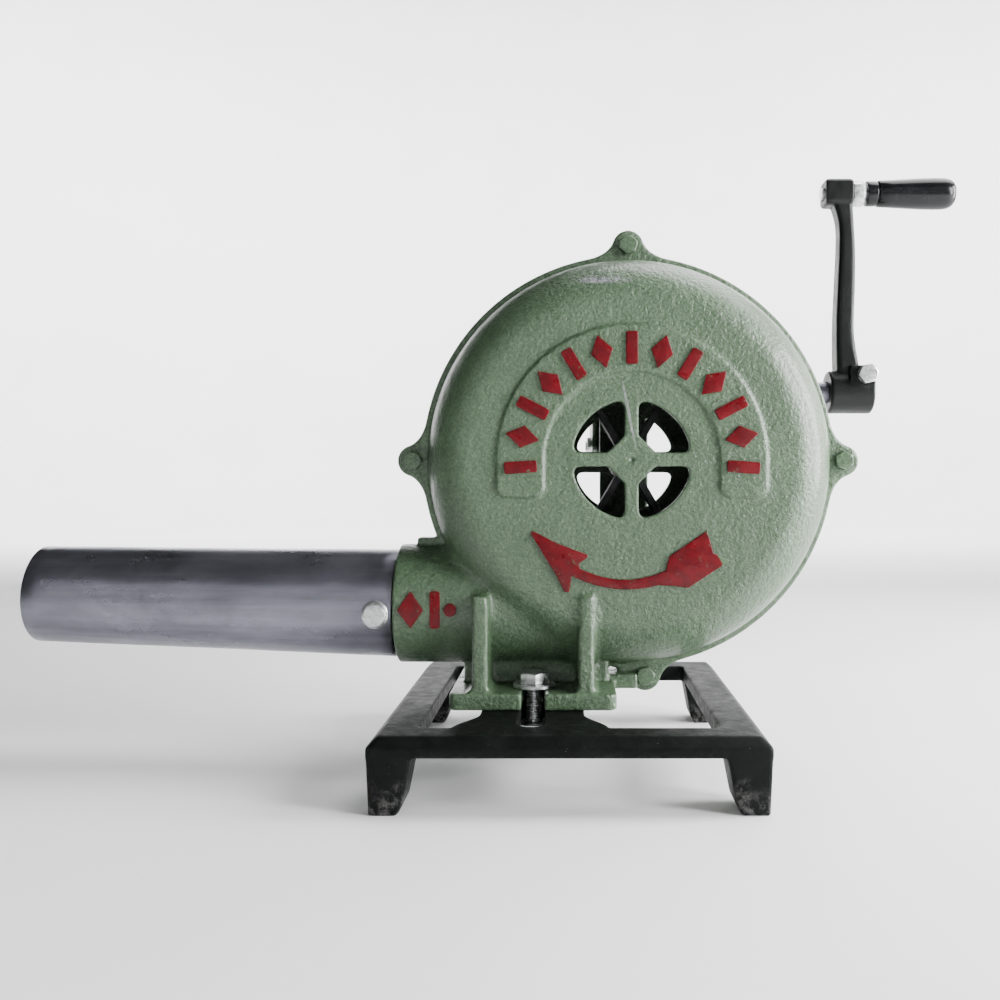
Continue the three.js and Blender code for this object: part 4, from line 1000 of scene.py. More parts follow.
def red_marks():
    """Plain raised bars and lozenges round the arch, and the arrow, all picked out in red"""
    sizes = bpy.context.scene.forge_casting
    face = sizes.half_depth
    raised = face + sizes.arch_height
    bars = []
    count = 13
    for i in range(count):
        angle = math.radians(184 - 188 * i / (count - 1))
        turn = Matrix.Rotation(angle, 2)
        if i % 2:
            flat = [(63 * MM, 0), (74.5 * MM, -7.6 * MM), (86 * MM, 0), (74.5 * MM, 7.6 * MM)]
        else:
            flat = rounded_rectangle(63.5 * MM, 85.5 * MM, -4 * MM, 4 * MM, 1.6 * MM, 5)
        outline = [tuple(turn @ Vector(point)) for point in flat]
        top = raised + sizes.relief_height
        bars.append(plate("bar", outline, raised - 0.6 * MM, top, upright(-1)))
    arch = eased(together("arch_bars", *bars), 0.5 * MM, 3)
    placed(arch, "blower", [], red_paint())
    neck_mark()
    top = face + sizes.relief_height
    arrow = plate("turn_arrow", arrow_outline(), face - 0.6 * MM, top, upright(-1))
    placed(eased(arrow, 0.5 * MM, 3), "blower", [], red_paint("Brushed red arrow", 25.3 * MM))


def neck_mark():
    """A lozenge, a bar and a dot that follow the round of the neck"""
    sizes = bpy.context.scene.forge_casting
    axis = pipe_axis_point(-sizes.flange_radius * 0.965)
    radius = sizes.neck_radius

    def wrapped(a, b, c):
        turn = b / radius
        out = radius + c
        return axis + Vector((a, -out * math.cos(turn), out * math.sin(turn)))

    half = 12.5 * MM
    lozenge = [(-17 * MM, 0), (-8 * MM, -half), (1 * MM, 0), (-8 * MM, half)]
    bar = rounded_rectangle(5 * MM, 12 * MM, -half, half, 2 * MM, 4)
    dot = arc(19 * MM, 0, 4.4 * MM, 0, 2 * math.pi * 23 / 24, 23)
    marks = []
    for outline in (lozenge, bar, dot):
        marks.append(plate("mark", outline, -0.6 * MM, sizes.relief_height, wrapped))
    mark = eased(together("neck_marks", *marks), 0.5 * MM, 3)
    placed(mark, "blower", [], red_paint())


# ------------------------------------------------------------------ the other castings
def stand_casting():
    sizes = bpy.context.scene.forge_stand
    low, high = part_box("stand")
    top, under = high.z, high.z - sizes.thickness
    bolt = middle_of("foot_bolt_front")
    centre = (low + high) / 2

    def rectangle(inset, z):
        outline = rounded_rectangle(
            low.x + inset, high.x - inset, low.y + inset, high.y - inset, 2.2 * MM, 4
        )
        return [Vector((a, b, z)) for a, b in outline]

    rings = [rectangle(0, under), rectangle(0, top - sizes.bevel), rectangle(sizes.bevel, top)]
    slab = lofted("stand_casting", rings)
    inner = rounded_rectangle(
        low.x + sizes.rail, high.x - sizes.rail, low.y + sizes.rail, high.y - sizes.rail, 4 * MM, 5
    )

    def as_drawn(a, b, c):
        return Vector((a, b, c))

    cut(slab, plate("opening", inner, under - 5 * MM, top + 5 * MM, as_drawn))
    pieces = []
    slots = []
    rail_edge = (high.y - low.y) / 2 - sizes.rail
    for hand in (-1, 1):

        def on_side(a, b, c, h=hand):
            return Vector((a, centre.y + h * b, c))

        outline = tongue_outline(sizes, bolt.x, rail_edge)
        pieces.append(plate("tongue", outline, under, top, on_side))
        half = sizes.slot_width / 2
        near = abs(bolt.y - centre.y) - 8.3 * MM
        far = rail_edge - 2.5 * MM
        slot = rounded_rectangle(bolt.x - half, bolt.x + half, near, far, half * 0.98)
        slots.append(plate("slot", slot, under - 5 * MM, top + 5 * MM, on_side))
    for hand_x in (-1, 1):
        for hand_y in (-1, 1):
            pieces.append(stand_leg(sizes, low, high, hand_x, hand_y))
    joined(slab, *pieces)
    cut(slab, *slots)
    cast(slab, 1.2 * MM)
    return placed(slab, "blower", ["stand"], black_paint("Stand black", 0.020))


def tongue_outline(sizes, middle, rail_edge):
    flare = 36 * MM
    reach = rail_edge - flare
    steps = 10
    side = []
    for i in range(steps + 1):
        share = i / steps
        bend = 3 * share**2 - 2 * share**3
        half = sizes.tongue_half + (sizes.tongue_flare - sizes.tongue_half) * bend
        side.append((half, reach + (flare + 1 * MM) * share))
    right = [(middle + half, along) for half, along in side]
    left = [(middle - half, along) for half, along in reversed(side)]
    soft = 5 * MM
    end = 12 * MM
    near_left = arc(middle - sizes.tongue_half + soft, end + soft, soft, math.pi, 1.5 * math.pi, 4)
    near_right = arc(middle + sizes.tongue_half - soft, end + soft, soft, -math.pi / 2, 0, 4)
    return right + left + near_left + near_right


def stand_leg(sizes, low, high, hand_x, hand_y):
    lean = 1.5 * MM
    rings = []
    top = high.z - sizes.bevel
    for i in range(7):
        share = i / 6
        foot = 1 - share
        width = sizes.leg_width + (sizes.leg_foot_width - sizes.leg_width) * foot
        depth = sizes.leg_depth + (sizes.leg_foot_depth - sizes.leg_depth) * foot
        z = top * share
        if i == 0:
            width, depth = width - 2 * MM, depth - 2 * MM
        corner_x = (high.x if hand_x > 0 else low.x) - hand_x * lean * foot
        corner_y = (high.y if hand_y > 0 else low.y) - hand_y * lean * foot
        x0, x1 = sorted((corner_x, corner_x - hand_x * width))
        y0, y1 = sorted((corner_y, corner_y - hand_y * depth))
        rings.append([Vector((a, b, z)) for a, b in rounded_rectangle(x0, x1, y0, y1, 2.5 * MM, 3)])
    return lofted("leg", rings)


def screw_holes(radius, low, high, nodes, axis):
    holes = []
    for node in nodes:
        start = middle_of(node)
        for i in range(3):
            if abs(axis[i]) > 0.5:
                start[i] = 0
        holes.append(rod("screw hole", radius, low, high, axis, start, 24))
    return holes


def gear_case_casting():
    low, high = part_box("gear_case")
    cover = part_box("gear_cover")
    half = 18.5 * MM
    drum = (high.z - 4 * MM) - CRANK.z  # the oil plug's seat stands above the drum
    drum_in = drum - 5 * MM
    boss_end = high.x - CRANK.x
    plate_back = low.y + 8 * MM
    barrel_end = middle_of("fan_bush_rear").y + size_of("fan_bush_rear").y / 2 + 0.5 * MM
    barrel = 15.2 * MM + 0.1 * MM
    fan = Vector((FAN.x, 0, FAN.z))
    crank = Vector((0, CRANK.y, CRANK.z))
    screws = [middle_of("gear_case_screw_top").z, middle_of("gear_case_screw_bottom").z]

    def body(name, low_x, high_x, radius):
        return turned(name, chamfered(low_x, high_x, radius, 1.5 * MM), X, crank, 128)

    case = body("gear_case_casting", CRANK.x - half, CRANK.x + half, drum)
    boss_profile = [
        (CRANK.x + half - 2 * MM, 0),
        (CRANK.x + half - 2 * MM, 27 * MM),
        (CRANK.x + half + 2 * MM, 22.5 * MM),
        (CRANK.x + half + 8 * MM, 18 * MM),
        (CRANK.x + half + 14 * MM, 17 * MM),
        (CRANK.x + boss_end - 1 * MM, 17 * MM),
        (CRANK.x + boss_end, 16 * MM),
        (CRANK.x + boss_end, 0),
    ]
    levels = (screws[1] - 10 * MM, screws[0] + 10 * MM)
    outline = rounded_rectangle(FAN.x - half, FAN.x + half, *levels, 9 * MM, 6)
    mount = plate("mount", outline, low.y, plate_back, lambda a, b, c: Vector((a, c, b)))
    web = block(
        "web",
        (FAN.x - 5 * MM, plate_back - 1 * MM, FAN.z - barrel),
        (FAN.x + 5 * MM, CRANK.y - drum / 2, screws[0] - 14 * MM),
    )
    above_crank = Vector((CRANK.x, CRANK.y, 0))
    grown = [
        turned("boss", boss_profile, X, crank, 96),
        rod("barrel", barrel, plate_back - 2 * MM, barrel_end, Y, fan, 64),
        mount,
        web,
        rod("filler", 11 * MM, CRANK.z + drum - 4 * MM, high.z, Z, above_crank, 48),
    ]
    for i in range(1, 5):
        at = middle_of(f"cover_screw_{i}")
        lug = Vector((0, at.y, at.z))
        grown.append(rod("lug", 7 * MM, CRANK.x - half, CRANK.x + half, X, lug, 40))
    joined(case, *grown)
    outer_bush = size_of("crank_bush_outer").y / 2 + BUSH_SPACE
    rear_bush = size_of("fan_bush_rear").x / 2 + BUSH_SPACE
    seat_from = barrel_end - 14 * MM
    removed = [
        rod("drum hollow", drum_in, CRANK.x - half - 5 * MM, CRANK.x + half - 4 * MM, X, crank, 96),
        rod("shaft way", outer_bush, CRANK.x, CRANK.x + 0.2, X, crank, 64),
        rod("barrel hollow", barrel - 5 * MM, plate_back + 2 * MM, seat_from, Y, fan, 48),
        rod("bush seat", rear_bush, seat_from, barrel_end + 9 * MM, Y, fan, 48),
        rod("fan shaft way", 6.4 * MM, low.y - 5 * MM, plate_back + 5 * MM, Y, fan, 40),
        rod("oil way", 5.3 * MM, CRANK.z + 20 * MM, high.z + 5 * MM, Z, above_crank, 32),
    ]
    case_screws = ["gear_case_screw_top", "gear_case_screw_bottom"]
    removed += screw_holes(4.4 * MM, -0.3, 0.3, case_screws, Y)
    cut(case, *removed)
    cast(case, 1.2 * MM)
    placed(case, "blower", ["gear_case"], green_paint())
    inner_end, outer_end = cover[0].x, cover[1].x
    inner_bush = size_of("crank_bush_inner").y / 2 + BUSH_SPACE
    cover_piece = body("gear_cover_casting", inner_end + 7 * MM, outer_end, drum)
    lugs = [rod("cover boss", 17 * MM, inner_end, outer_end, X, crank, 64)]
    holes = [
        rod("cover bore", inner_bush, inner_end + 5 * MM, outer_end + 5 * MM, X, crank, 48)
    ]
    for i in range(1, 5):
        at = middle_of(f"cover_screw_{i}")
        screw = Vector((0, at.y, at.z))
        lugs.append(rod("lug", 7 * MM, inner_end + 7 * MM, outer_end, X, screw, 40))
        holes.append(rod("screw way", 2.8 * MM, inner_end, outer_end + 5 * MM, X, screw, 24))
    joined(cover_piece, *lugs)
    cut(cover_piece, *holes)
    cast(cover_piece, 1.1 * MM)
    placed(cover_piece, "blower", ["gear_cover"], green_paint())


def arm_edge(points, throw, start):
    """A smooth edge of the arm through (share of throw, x) pairs"""
    smooth = []
    count = len(points)
    for i in range(count - 1):
        before = points[max(0, i - 1)]
        one, two = points[i], points[i + 1]
        after = points[min(count - 1, i + 2)]
        for step in range(8):
            t = step / 8
            value = [
                0.5
                * (
                    2 * one[k]
                    + (two[k] - before[k]) * t
                    + (2 * before[k] - 5 * one[k] + 4 * two[k] - after[k]) * t**2
                    + (3 * one[k] - before[k] - 3 * two[k] + after[k]) * t**3
                )
                for k in (0, 1)
            ]
            smooth.append((start + value[1] * MM, value[0] * throw))
    smooth.append((start + points[-1][1] * MM, points[-1][0] * throw))
    return smooth


def crank_arm_casting():
    sizes = bpy.context.scene.forge_crank
    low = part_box("crank_arm")[0]
    throw = GRIP.z - CRANK.z
    hub_from = low.x + 3 * MM
    hub_end = hub_from + 36.6 * MM
    inner = [(0, 6.8), (0.3, 6), (0.53, 7.4), (0.72, 8.8), (0.855, 8.2), (0.96, 3)]
    outer = [(0, 27.8), (0.12, 25.2), (0.3, 21), (0.53, 22), (0.72, 22.2), (0.96, 20)]
    arm = lofted("crank_arm_casting", even_rings(inner, outer, throw, hub_from, sizes))
    crank = Vector((0, CRANK.y, CRANK.z))
    hub = turned("hub", chamfered(hub_from, hub_end, sizes.hub_radius, 1.2 * MM), X, crank, 96)
    clamp_half = sizes.hub_radius - 0.8 * MM
    clamp_from = hub_end - 20.8 * MM
    bolt = middle_of("clamp_bolt")
    clamp_top = bolt.z + 7.7 * MM
    lug_outline = rounded_rectangle(clamp_from, hub_end, CRANK.z, clamp_top, 1.5 * MM, 4)

    def across_crank(a, b, c):
        return Vector((a, CRANK.y + c, b))

    lug = plate("clamp lug", lug_outline, -clamp_half, clamp_half, across_crank)
    boss_half = sizes.boss_height / 2
    boss_outline = rounded_rectangle(
        low.x, low.x + 23.2 * MM, GRIP.z - boss_half, GRIP.z + boss_half, 2.5 * MM, 4
    )
    boss_rings = []
    for share, inset in ((-1, 3), (-0.8, 0.6), (-0.5, 0), (0.5, 0), (0.8, 0.6), (1, 3)):
        y = CRANK.y + 11.5 * MM * share
        squeeze = 1 - inset * MM / boss_half
        ring = [Vector((a, y, GRIP.z + (b - GRIP.z) * squeeze)) for a, b in boss_outline]
        boss_rings.append(ring)
    joined(arm, hub, lug, lofted("boss", boss_rings))
    over_bolt = Vector((bolt.x, 0, bolt.z))
    grip_axis = Vector((0, GRIP.y, GRIP.z))
    cut(
        arm,
        rod("bore", 8.8 * MM, hub_from - 5 * MM, hub_end + 5 * MM, X, crank, 64),
        block(
            "slit",
            (clamp_from - 3 * MM, CRANK.y - sizes.slit / 2, CRANK.z),
            (hub_end + 5 * MM, CRANK.y + sizes.slit / 2, clamp_top + 5 * MM),
        ),
        rod("bolt way", M8_HOLE, CRANK.y - 0.05, CRANK.y + 0.05, Y, over_bolt, 32),
        rod("spindle way", 5.3 * MM, low.x - 5 * MM, low.x + 30 * MM, X, grip_axis, 32),
    )
    cast(arm, 0.8 * MM)
    paint = black_paint("Crank black", None, 0.24)
    return placed(arm, "crank", ["crank_arm"], paint)


def even_rings(inner, outer, throw, start, sizes):
    """Rings across the arm at even steps of height, from its two edges"""

    def at(edge, z):
        for (x0, z0), (x1, z1) in zip(edge, edge[1:]):
            if z0 <= z <= z1:
                return x0 + (x1 - x0) * (z - z0) / max(z1 - z0, 1e-9)
        return edge[-1][0]

    left = arm_edge(inner, throw, start)
    right = arm_edge(outer, throw, start)
    rings = []
    steps = 48
    top = 0.96 * throw
    for i in range(steps + 1):
        z = top * i / steps
        half = sizes.half_depth_low + (sizes.half_depth_top - sizes.half_depth_low) * z / throw
        ring = rounded_rectangle(at(left, z), at(right, z), -half, half, 3.6 * MM, 4)
        rings.append([Vector((a, CRANK.y + b, CRANK.z + z)) for a, b in ring])
    return rings


# ------------------------------------------------------------------ turned and pressed pieces
def bolt(name, node, toward, across_flats, head, shank, flange=0.0, turn=0.0, pitch=1.25 * MM):
    """A hex bolt whose head is at its node's far end in the direction given"""
    low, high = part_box(node)
    at = (low + high) / 2
    reach = abs((high - low).dot(toward)) / 2
    head_from = reach - head
    parts = [hex_body(name + " head", across_flats, head_from, reach, toward, at, turn)]
    if flange:
        profile = [
            (head_from, 0),
            (head_from, flange - 0.4 * MM),
            (head_from + 0.5 * MM, flange),
            (head_from + 1.1 * MM, flange - 0.3 * MM),
            (head_from + 2.2 * MM, across_flats / 2),
            (head_from + 2.2 * MM, 0),
        ]
        parts.append(shade_smooth(turned(name + " flange", profile, toward, at, 72), 40))
    thread = screw_thread(name + " thread", shank, -reach, head_from + 0.3 * MM, toward, at, pitch)
    return together(name, *parts, thread)


def nut(name, node, axis, across_flats, bore, turn=0.0):
    half = abs(size_of(node).dot(axis)) / 2
    at = middle_of(node)
    return hex_body(name, across_flats, -half, half, axis, at, turn, (True, True), bore)


def washer(name, node, axis, bore):
    low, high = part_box(node)
    half = abs((high - low).dot(axis)) / 2
    outer = max((high - low)[i] for i in range(3) if abs(axis[i]) < 0.5) / 2
    return ring_of(name, outer, bore, -half, half, axis, (low + high) / 2)


def spring_washer(name, node):
    """A split ring whose ends stand a little apart"""
    low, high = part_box(node)
    half = (high.y - low.y) / 2
    at = (low + high) / 2
    outer = (high.x - low.x) / 2
    inner = 4.4 * MM
    rings = []
    steps = 64
    for i in range(steps + 1):
        angle = 0.9 + (2 * math.pi - 0.12) * i / steps
        shift = 0.35 * MM * (i / steps - 0.5)
        out = Vector((math.cos(angle), 0, math.sin(angle)))
        thick = half * 0.8
        corners = [(inner, -thick), (outer, -thick), (outer, thick), (inner, thick)]
        rings.append([at + out * radius + Y * (along + shift) for radius, along in corners])
    return eased(lofted(name, rings), 0.2 * MM, 2, 50)


def plated(made, body, node):
    placed(made, body, [node], zinc_plate())


def casing_fasteners():
    for i in range(1, 5):
        head = bolt(f"ear_bolt_{i}", f"casing_bolt_{i}", -Y, 12 * MM, 5 * MM, 4 * MM, turn=0.3 * i)
        placed(head, "blower", [f"casing_bolt_{i}"], green_paint(0.35))
        low = nut(f"ear_nut_{i}", f"casing_nut_{i}", Y, 12 * MM, M8_HOLE, turn=0.7 * i)
        placed(low, "blower", [f"casing_nut_{i}"], green_paint(0.35))
    turn = math.radians(8)
    made = bolt("pipe_screw", "pipe_bolt", -Y, 15 * MM, 6 * MM, 4 * MM, 9.5 * MM, turn=turn)
    plated(made, "blower", "pipe_bolt")


def foot_fasteners():
    for end, turn in (("front", 0.12), ("rear", 0.5)):
        node = "foot_bolt_" + end
        pitch = 1.75 * MM
        made = bolt("stand_bolt_" + end, node, Z, 19 * MM, 7.5 * MM, 6 * MM, turn=turn, pitch=pitch)
        plated(made, "blower", node)
        made = nut("stand_nut_" + end, "foot_nut_" + end, Z, 19 * MM, 6.3 * MM, turn)
        plated(made, "blower", "foot_nut_" + end)
        for level in ("", "under_"):
            node = f"foot_washer_{level}{end}"
            made = washer(f"stand_washer_{level}{end}", node, Z, 6.4 * MM)
            plated(made, "blower", node)


def gear_case_fasteners():
    for i in range(1, 5):
        node = f"cover_screw_{i}"
        turn, pitch = 0.4 * i, 0.8 * MM
        made = bolt(f"lid_screw_{i}", node, -X, 8 * MM, 3.6 * MM, 2.5 * MM, turn=turn, pitch=pitch)
        plated(made, "blower", node)
    made = bolt("filler_plug", "oil_plug", Z, 14 * MM, 6 * MM, 5 * MM, 9.5 * MM, turn=0.2)
    plated(made, "blower", "oil_plug")
    for end, turn in (("top", 0.15), ("bottom", 0.6)):
        node = "gear_case_screw_" + end
        made = bolt("case_screw_" + end, node, Y, 13 * MM, 5.5 * MM, 4 * MM, turn=turn)
        plated(made, "blower", node)


def clamp_fasteners():
    made = bolt("pinch_bolt", "clamp_bolt", -Y, 14.6 * MM, 6 * MM, 4 * MM, turn=math.radians(12))
    plated(made, "crank", "clamp_bolt")
    made = spring_washer("pinch_washer", "clamp_washer")
    plated(made, "crank", "clamp_washer")
    made = nut("pinch_nut", "clamp_nut", Y, 14.6 * MM, M8_HOLE, turn=0.4)
    plated(made, "crank", "clamp_nut")


def blast_pipe():
    """The pipe, tapering a little to its far end, with the hole for its screw"""
    low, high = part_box("blast_pipe")
    axis = Vector((-math.cos(PIPE_TILT), 0, math.sin(PIPE_TILT)))
    start = pipe_start(low, high, axis)
    near, far, wall, long = PIPE_NEAR, PIPE_FAR, PIPE_WALL, PIPE_LENGTH
    lip = 0.4 * MM
    steps = 24
    outside = []
    for i in range(steps + 1):
        share = i / steps
        wave = 0.12 * MM * math.sin(9 * share) * math.sin(math.pi * share)
        along = lip + (long - 2 * lip) * share
        outside.append((along, near + (far - near) * share - lip * 0.2 + wave))
    profile = [(0, near - wall), (0, near - lip)] + outside
    profile += [(long, far - lip), (long, far - wall), (long * 0.5, (near + far) / 2 - wall)]
    pipe = turned("blast_pipe_tube", profile, axis, start, 144)
    at = middle_of("pipe_bolt")
    screw = Vector((at.x, 0, at.z))
    cut(pipe, rod("screw hole", 4.5 * MM, FAN.y - 60 * MM, FAN.y - 10 * MM, Y, screw, 32))
    shade_smooth(pipe, 40)
    placed(pipe, "blower", ["blast_pipe"], bare_steel())


def pipe_start(low, high, axis):
    """The middle of the pipe's near end, from its box"""
    return Vector((high.x - PIPE_NEAR * abs(axis.z), FAN.y, low.z + PIPE_NEAR * abs(axis.x)))


def crank_turned_pieces():
    low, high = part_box("crank_shaft")
    at = Vector((0, CRANK.y, CRANK.z))
    profile = chamfered(low.x, high.x, 8.5 * MM, 0.8 * MM)
    shaft = shade_smooth(turned("crank_spindle", profile, X, at, 64), 30)
    placed(shaft, "crank", ["crank_shaft"], bare_steel())
    low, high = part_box("shaft_collar")
    outer = (high.y - low.y) / 2
    collar = ring_of("thrust_collar", outer, 8.8 * MM, low.x, high.x, X, at, 0.8 * MM)
    placed(collar, "crank", ["shaft_collar"], bare_steel())
    made = nut("spindle_nut", "handle_nut", X, 19 * MM, 5.3 * MM, turn=math.radians(30))
    plated(made, "crank", "handle_nut")
    low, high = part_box("handle_bolt")
    middle = Vector((0, GRIP.y, GRIP.z))
    head = high.x - 5 * MM
    body = rod("grip_spindle", 5 * MM, low.x, head + 1 * MM, X, middle, 48)
    dome = [(head, 0), (head, 7 * MM), (high.x - 1 * MM, 7.4 * MM), (high.x, 6.4 * MM), (high.x, 0)]
    joined(body, turned("cap", dome, X, middle, 64))
    slot = block(
        "slot",
        (high.x - 2 * MM, middle.y - 0.8 * MM, middle.z - 20 * MM),
        (high.x + 5 * MM, middle.y + 0.8 * MM, middle.z + 20 * MM),
    )
    cut(body, slot)
    plated(shade_smooth(body, 30), "crank", "handle_bolt")


def hand_grip():
    """The turned grip: a collar, a slow swell and a rounded end round the recessed screw"""
    low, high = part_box("handle_grip")
    span = high.x - low.x
    mouth = 8.0 * MM
    bore = 5.3 * MM
    middle = Vector((0, GRIP.y, GRIP.z))
    outside = [  # along the grip and radius, in millimetres
        (0, 9.5), (0.5, 10.2), (1.2, 10.4), (8, 10.4), (8.9, 10.1), (9.3, 9.7), (9.8, 10.3),
        (10.6, 10.9), (20, 11.4), (33, 12.1), (46, 12.75), (56, 13), (64, 12.95), (68, 12.5),
        (71, 11.4), (73, 9.9), (73.8, 8.9),
    ]
    profile = [(low.x, bore)]
    profile += [(low.x + along * MM, radius * MM) for along, radius in outside]
    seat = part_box("handle_bolt")[1].x - 5 * MM - 0.3 * MM
    profile += [(low.x + span, mouth + 0.3 * MM), (low.x + span - 0.4 * MM, mouth)]
    profile += [(seat, mouth), (seat, bore)]
    grip = turned("grip_handle", profile, X, middle, 128)
    placed(shade_smooth(grip, 35), "grip", ["handle_grip"], black_plastic())


def softened_copy(name, node, width):
    """A piece with its CAD node's mesh and rounded edges"""
    made = bpy.data.objects.new(name, frame["nodes"][node].data.copy())
    bpy.context.scene.collection.objects.link(made)
    bm = bmesh.new()
    bm.from_mesh(made.data)
    bmesh.ops.remove_doubles(bm, verts=bm.verts, dist=1e-6)
    bmesh.ops.dissolve_limit(bm, angle_limit=math.radians(1), verts=bm.verts, edges=bm.edges)
    bm.to_mesh(made.data)
    bm.free()
    return eased(made, width, 3, 30)


def fan_pieces():
    spider = softened_copy("fan_spider", "impeller_spider", 0.5 * MM)
    placed(spider, "fan_rotor", ["impeller_spider"], dark_iron())
    for i in range(1, 7):
        blade = softened_copy(f"fan_blade_{i}", f"impeller_blade_{i}", 0.4 * MM)
        placed(blade, "fan_rotor", [f"impeller_blade_{i}"], dark_iron())
    made = nut("fan_nut", "impeller_nut", Y, 18 * MM, 6.3 * MM, turn=0.3)
    plated(made, "fan_rotor", "impeller_nut")


CARRIED = {
    "gear_wheel": ("dark_iron", dark_iron),
    "wheel_key": ("bare_steel", bare_steel),
    "fan_shaft": ("bare_steel", bare_steel),
    "fan_bush_front": ("bronze", bearing_bronze),
    "fan_bush_rear": ("bronze", bearing_bronze),
    "crank_bush_inner": ("bronze", bearing_bronze),
    "crank_bush_outer": ("bronze", bearing_bronze),
    "collar_screw": ("zinc", zinc_plate),
}


def carried_nodes():
    """Gives the inner works a finish; they keep the shape that the frame brings"""
    for node, (slot, finish) in CARRIED.items():
        piece = frame["nodes"][node]
        piece.data.materials.clear()
        piece.data.materials.append(finish())


# ------------------------------------------------------------------ studio
def studio_floor():
    """A wide pale floor that curves up into the backdrop all round"""
    radius, bend, height = 3.6, 1.2, 3.6
    profile = [(0.0, 0.0), (0.0, radius)]
    for i in range(1, 17):
        turn = math.pi / 2 * i / 16
        profile.append((bend * (1 - math.cos(turn)), radius + bend * math.sin(turn)))
    profile.append((height, radius + bend))
    segments = 96
    points = []
    for along, out in profile:
        for i in range(segments):
            points.append(Vector((*polar(out, 2 * math.pi * i / segments), along)))
    floor = object_from("studio_floor", points, bands(len(profile), segments))
    shade_smooth(floor)
    nodes = Nodes("Pale floor")
    cloud = nodes.spread(nodes.noise(3, 2), 0.4, 0.6)
    nodes.link(nodes.mix(cloud, (0.86, 0.86, 0.86), (0.88, 0.88, 0.88)), "Base Color")
    nodes.set(roughness=0.75, specular_ior_level=0.2)
    floor.data.materials.append(nodes.material)


def soft_light(name, power, size, at, toward):
    lamp = bpy.data.lights.new(name, "AREA")
    lamp.shape = "RECTANGLE"
    lamp.size, lamp.size_y = size
    lamp.energy = power
    made = bpy.data.objects.new(name, lamp)
    made.location = at
    made.rotation_euler = (Vector(toward) - Vector(at)).to_track_quat("-Z", "Y").to_euler()
    bpy.context.scene.collection.objects.link(made)


def dark_canopy():
    """A dark cloth to the left and overhead that keeps gloss off that side of the work"""
    near, far = FAN.y - 0.35, FAN.y + 2.2
    lean = (far - near) * 0.52
    reach = 0.62
    profile = [(reach, -0.12), (reach + 0.05, 0.6), (reach - 0.1, 1.1), (0.15, 1.3)]
    points = []
    for out, up in profile:
        slant = lean if up < 1.2 else 0
        points.append(Vector((FAN.x - out, near, FAN.z + up)))
        points.append(Vector((FAN.x - out - slant, far, FAN.z + up)))
    faces = [[2 * i, 2 * i + 1, 2 * i + 3, 2 * i + 2] for i in range(len(profile) - 1)]
    cloth = object_from("dark_canopy", points, faces)
    cloth.visible_camera = False
    cloth.visible_shadow = False
    nodes = Nodes("Dark cloth")
    nodes.link(nodes.mix(nodes.noise(40, 3), (0.01, 0.01, 0.01), (0.02, 0.02, 0.02)), "Base Color")
    nodes.set(roughness=0.9, specular_ior_level=0.0)
    cloth.data.materials.append(nodes.material)


def studio():
    settings = bpy.context.scene.forge_studio
    studio_floor()
    aim = FAN + Vector((0, 0, 0.02))
    soft_light("Key", settings.key_power, (0.5, 1.1), FAN + Vector((1.4, 0.0, 0.35)), aim)
    soft_light("Front", settings.front_power, (0.4, 1.0), FAN + Vector((1.35, -0.72, 0.4)), aim)
    soft_light("Top", settings.top_power, (1.4, 1.2), FAN + Vector((0.6, 0.5, 1.5)), aim)
    dark_canopy()
    for side in (-1, 1):
        at = FAN + Vector((side * 1.5, 1.9, 1.9))
        aim = FAN + Vector((side * 1.5, 5.0, 0.8))
        soft_light("Backdrop", settings.backdrop_power, (2.0, 1.0), at, aim)
    world = bpy.data.worlds.new("Room")
    world.use_nodes = True
    world.node_tree.nodes["Background"].inputs["Color"].default_value = (1, 1, 1, 1)
    world.node_tree.nodes["Background"].inputs["Strength"].default_value = settings.room
    bpy.context.scene.world = world
    view = bpy.data.cameras.new("Camera")
    view.lens = settings.lens
    view.sensor_width = 36
    view.shift_x, view.shift_y = settings.shift
    view.clip_start, view.clip_end = 0.01, 100
    camera = bpy.data.objects.new("Camera", view)
    camera.location = (middle_of("stand").x, FAN.y - settings.distance, settings.height)
    camera.rotation_euler = (math.pi / 2, 0, 0)
    bpy.context.scene.collection.objects.link(camera)
    bpy.context.scene.camera = camera


# ------------------------------------------------------------------ operators and panel
class FORGE_OT_studio(bpy.types.Operator):
    """Add the floor, the lights and the camera"""

    bl_idname = "forge.studio"
    bl_label = "Studio"

    def execute(self, context):
        studio()
        return {"FINISHED"}


class FORGE_OT_front_casing(bpy.types.Operator):
    """Make the front half of the casing, with its raised arch"""

    bl_idname = "forge.front_casing"
    bl_label = "Front casing"

    def execute(self, context):
        made = casing_half("front_casing_cast", -1)
        placed(made, "blower", ["front_casing"], green_paint(1.0, True))
        return {"FINISHED"}


class FORGE_OT_rear_casing(bpy.types.Operator):
    """Make the rear half of the casing, with its bearing boss"""

    bl_idname = "forge.rear_casing"
    bl_label = "Rear casing"

    def execute(self, context):
        made = casing_half("rear_casing_cast", 1)
        placed(made, "blower", ["rear_casing"], green_paint())
        return {"FINISHED"}


class FORGE_OT_red_marks(bpy.types.Operator):
    """Make the raised red marks and the turning arrow"""

    bl_idname = "forge.red_marks"
    bl_label = "Red marks"

    def execute(self, context):
        red_marks()
        return {"FINISHED"}


class FORGE_OT_casing_fasteners(bpy.types.Operator):
    """Make the ear bolts with their nuts, and the screw that holds the pipe"""

    bl_idname = "forge.casing_fasteners"
    bl_label = "Casing fasteners"

    def execute(self, context):
        casing_fasteners()
        return {"FINISHED"}


class FORGE_OT_blast_pipe(bpy.types.Operator):
    """Make the steel pipe that carries the air to the fire"""

    bl_idname = "forge.blast_pipe"
    bl_label = "Blast pipe"

    def execute(self, context):
        blast_pipe()
        return {"FINISHED"}


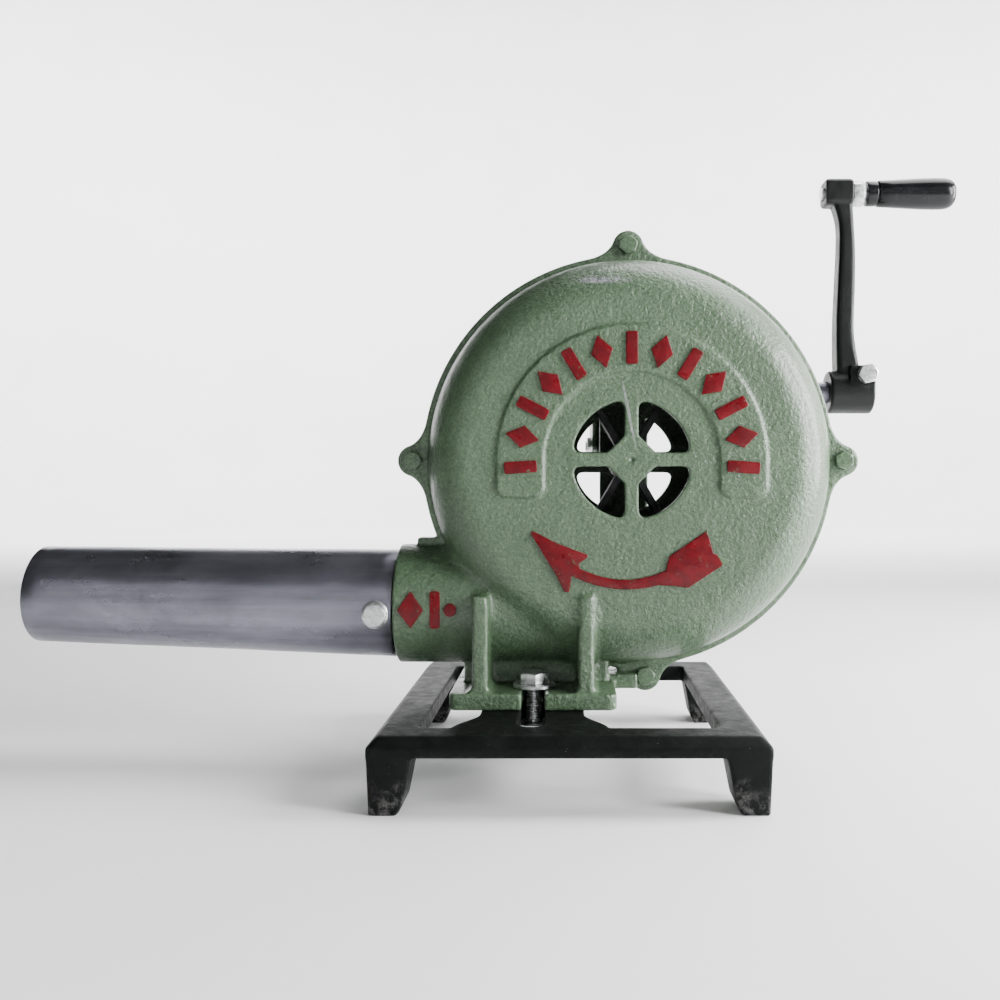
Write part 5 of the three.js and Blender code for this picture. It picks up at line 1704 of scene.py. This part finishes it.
class FORGE_OT_stand(bpy.types.Operator):
    """Make the cast stand with its four legs"""

    bl_idname = "forge.stand"
    bl_label = "Stand"

    def execute(self, context):
        stand_casting()
        return {"FINISHED"}


class FORGE_OT_foot_fasteners(bpy.types.Operator):
    """Make the two bolts that hold the blower to the stand"""

    bl_idname = "forge.foot_fasteners"
    bl_label = "Foot fasteners"

    def execute(self, context):
        foot_fasteners()
        return {"FINISHED"}


class FORGE_OT_fan(bpy.types.Operator):
    """Make the fan inside the casing"""

    bl_idname = "forge.fan"
    bl_label = "Fan"

    def execute(self, context):
        fan_pieces()
        return {"FINISHED"}


class FORGE_OT_gear_case(bpy.types.Operator):
    """Make the gear case and its cover, with their screws and the oil plug"""

    bl_idname = "forge.gear_case"
    bl_label = "Gear case"

    def execute(self, context):
        gear_case_casting()
        gear_case_fasteners()
        return {"FINISHED"}


class FORGE_OT_crank(bpy.types.Operator):
    """Make the crank's shaft, arm and clamp"""

    bl_idname = "forge.crank"
    bl_label = "Crank"

    def execute(self, context):
        crank_arm_casting()
        clamp_fasteners()
        crank_turned_pieces()
        return {"FINISHED"}


class FORGE_OT_grip(bpy.types.Operator):
    """Make the grip that turns on the crank"""

    bl_idname = "forge.grip"
    bl_label = "Grip"

    def execute(self, context):
        hand_grip()
        return {"FINISHED"}


class FORGE_OT_inner_works(bpy.types.Operator):
    """Finish the gears and bushes, which keep their own shape"""

    bl_idname = "forge.inner_works"
    bl_label = "Inner works"

    def execute(self, context):
        carried_nodes()
        return {"FINISHED"}


OPERATORS = (
    FORGE_OT_studio,
    FORGE_OT_front_casing,
    FORGE_OT_rear_casing,
    FORGE_OT_red_marks,
    FORGE_OT_casing_fasteners,
    FORGE_OT_blast_pipe,
    FORGE_OT_stand,
    FORGE_OT_foot_fasteners,
    FORGE_OT_fan,
    FORGE_OT_gear_case,
    FORGE_OT_crank,
    FORGE_OT_grip,
    FORGE_OT_inner_works,
)


class FORGE_PT_panel(bpy.types.Panel):
    """Lists every piece of the blower"""

    bl_idname = "FORGE_PT_panel"
    bl_label = "Forge Blower"
    bl_space_type = "VIEW_3D"
    bl_region_type = "UI"
    bl_category = "Forge"

    def draw(self, context):
        column = self.layout.column(align=True)
        for operator in OPERATORS:
            column.operator(operator.bl_idname)


SETTINGS = {
    "forge_casting": CastingSizes,
    "forge_stand": StandSizes,
    "forge_crank": CrankSizes,
    "forge_colours": FinishColours,
    "forge_studio": StudioSettings,
}


def register():
    for group in (*SETTINGS.values(), *OPERATORS, FORGE_PT_panel):
        bpy.utils.register_class(group)
    for name, group in SETTINGS.items():
        setattr(bpy.types.Scene, name, PointerProperty(type=group))


def unregister():
    for name in SETTINGS:
        delattr(bpy.types.Scene, name)
    for group in (FORGE_PT_panel, *reversed(OPERATORS), *reversed(tuple(SETTINGS.values()))):
        bpy.utils.unregister_class(group)


def main():
    register()
    for operator in OPERATORS:
        family, name = operator.bl_idname.split(".")
        getattr(getattr(bpy.ops, family), name)()


if __name__ == "__main__":
    main()
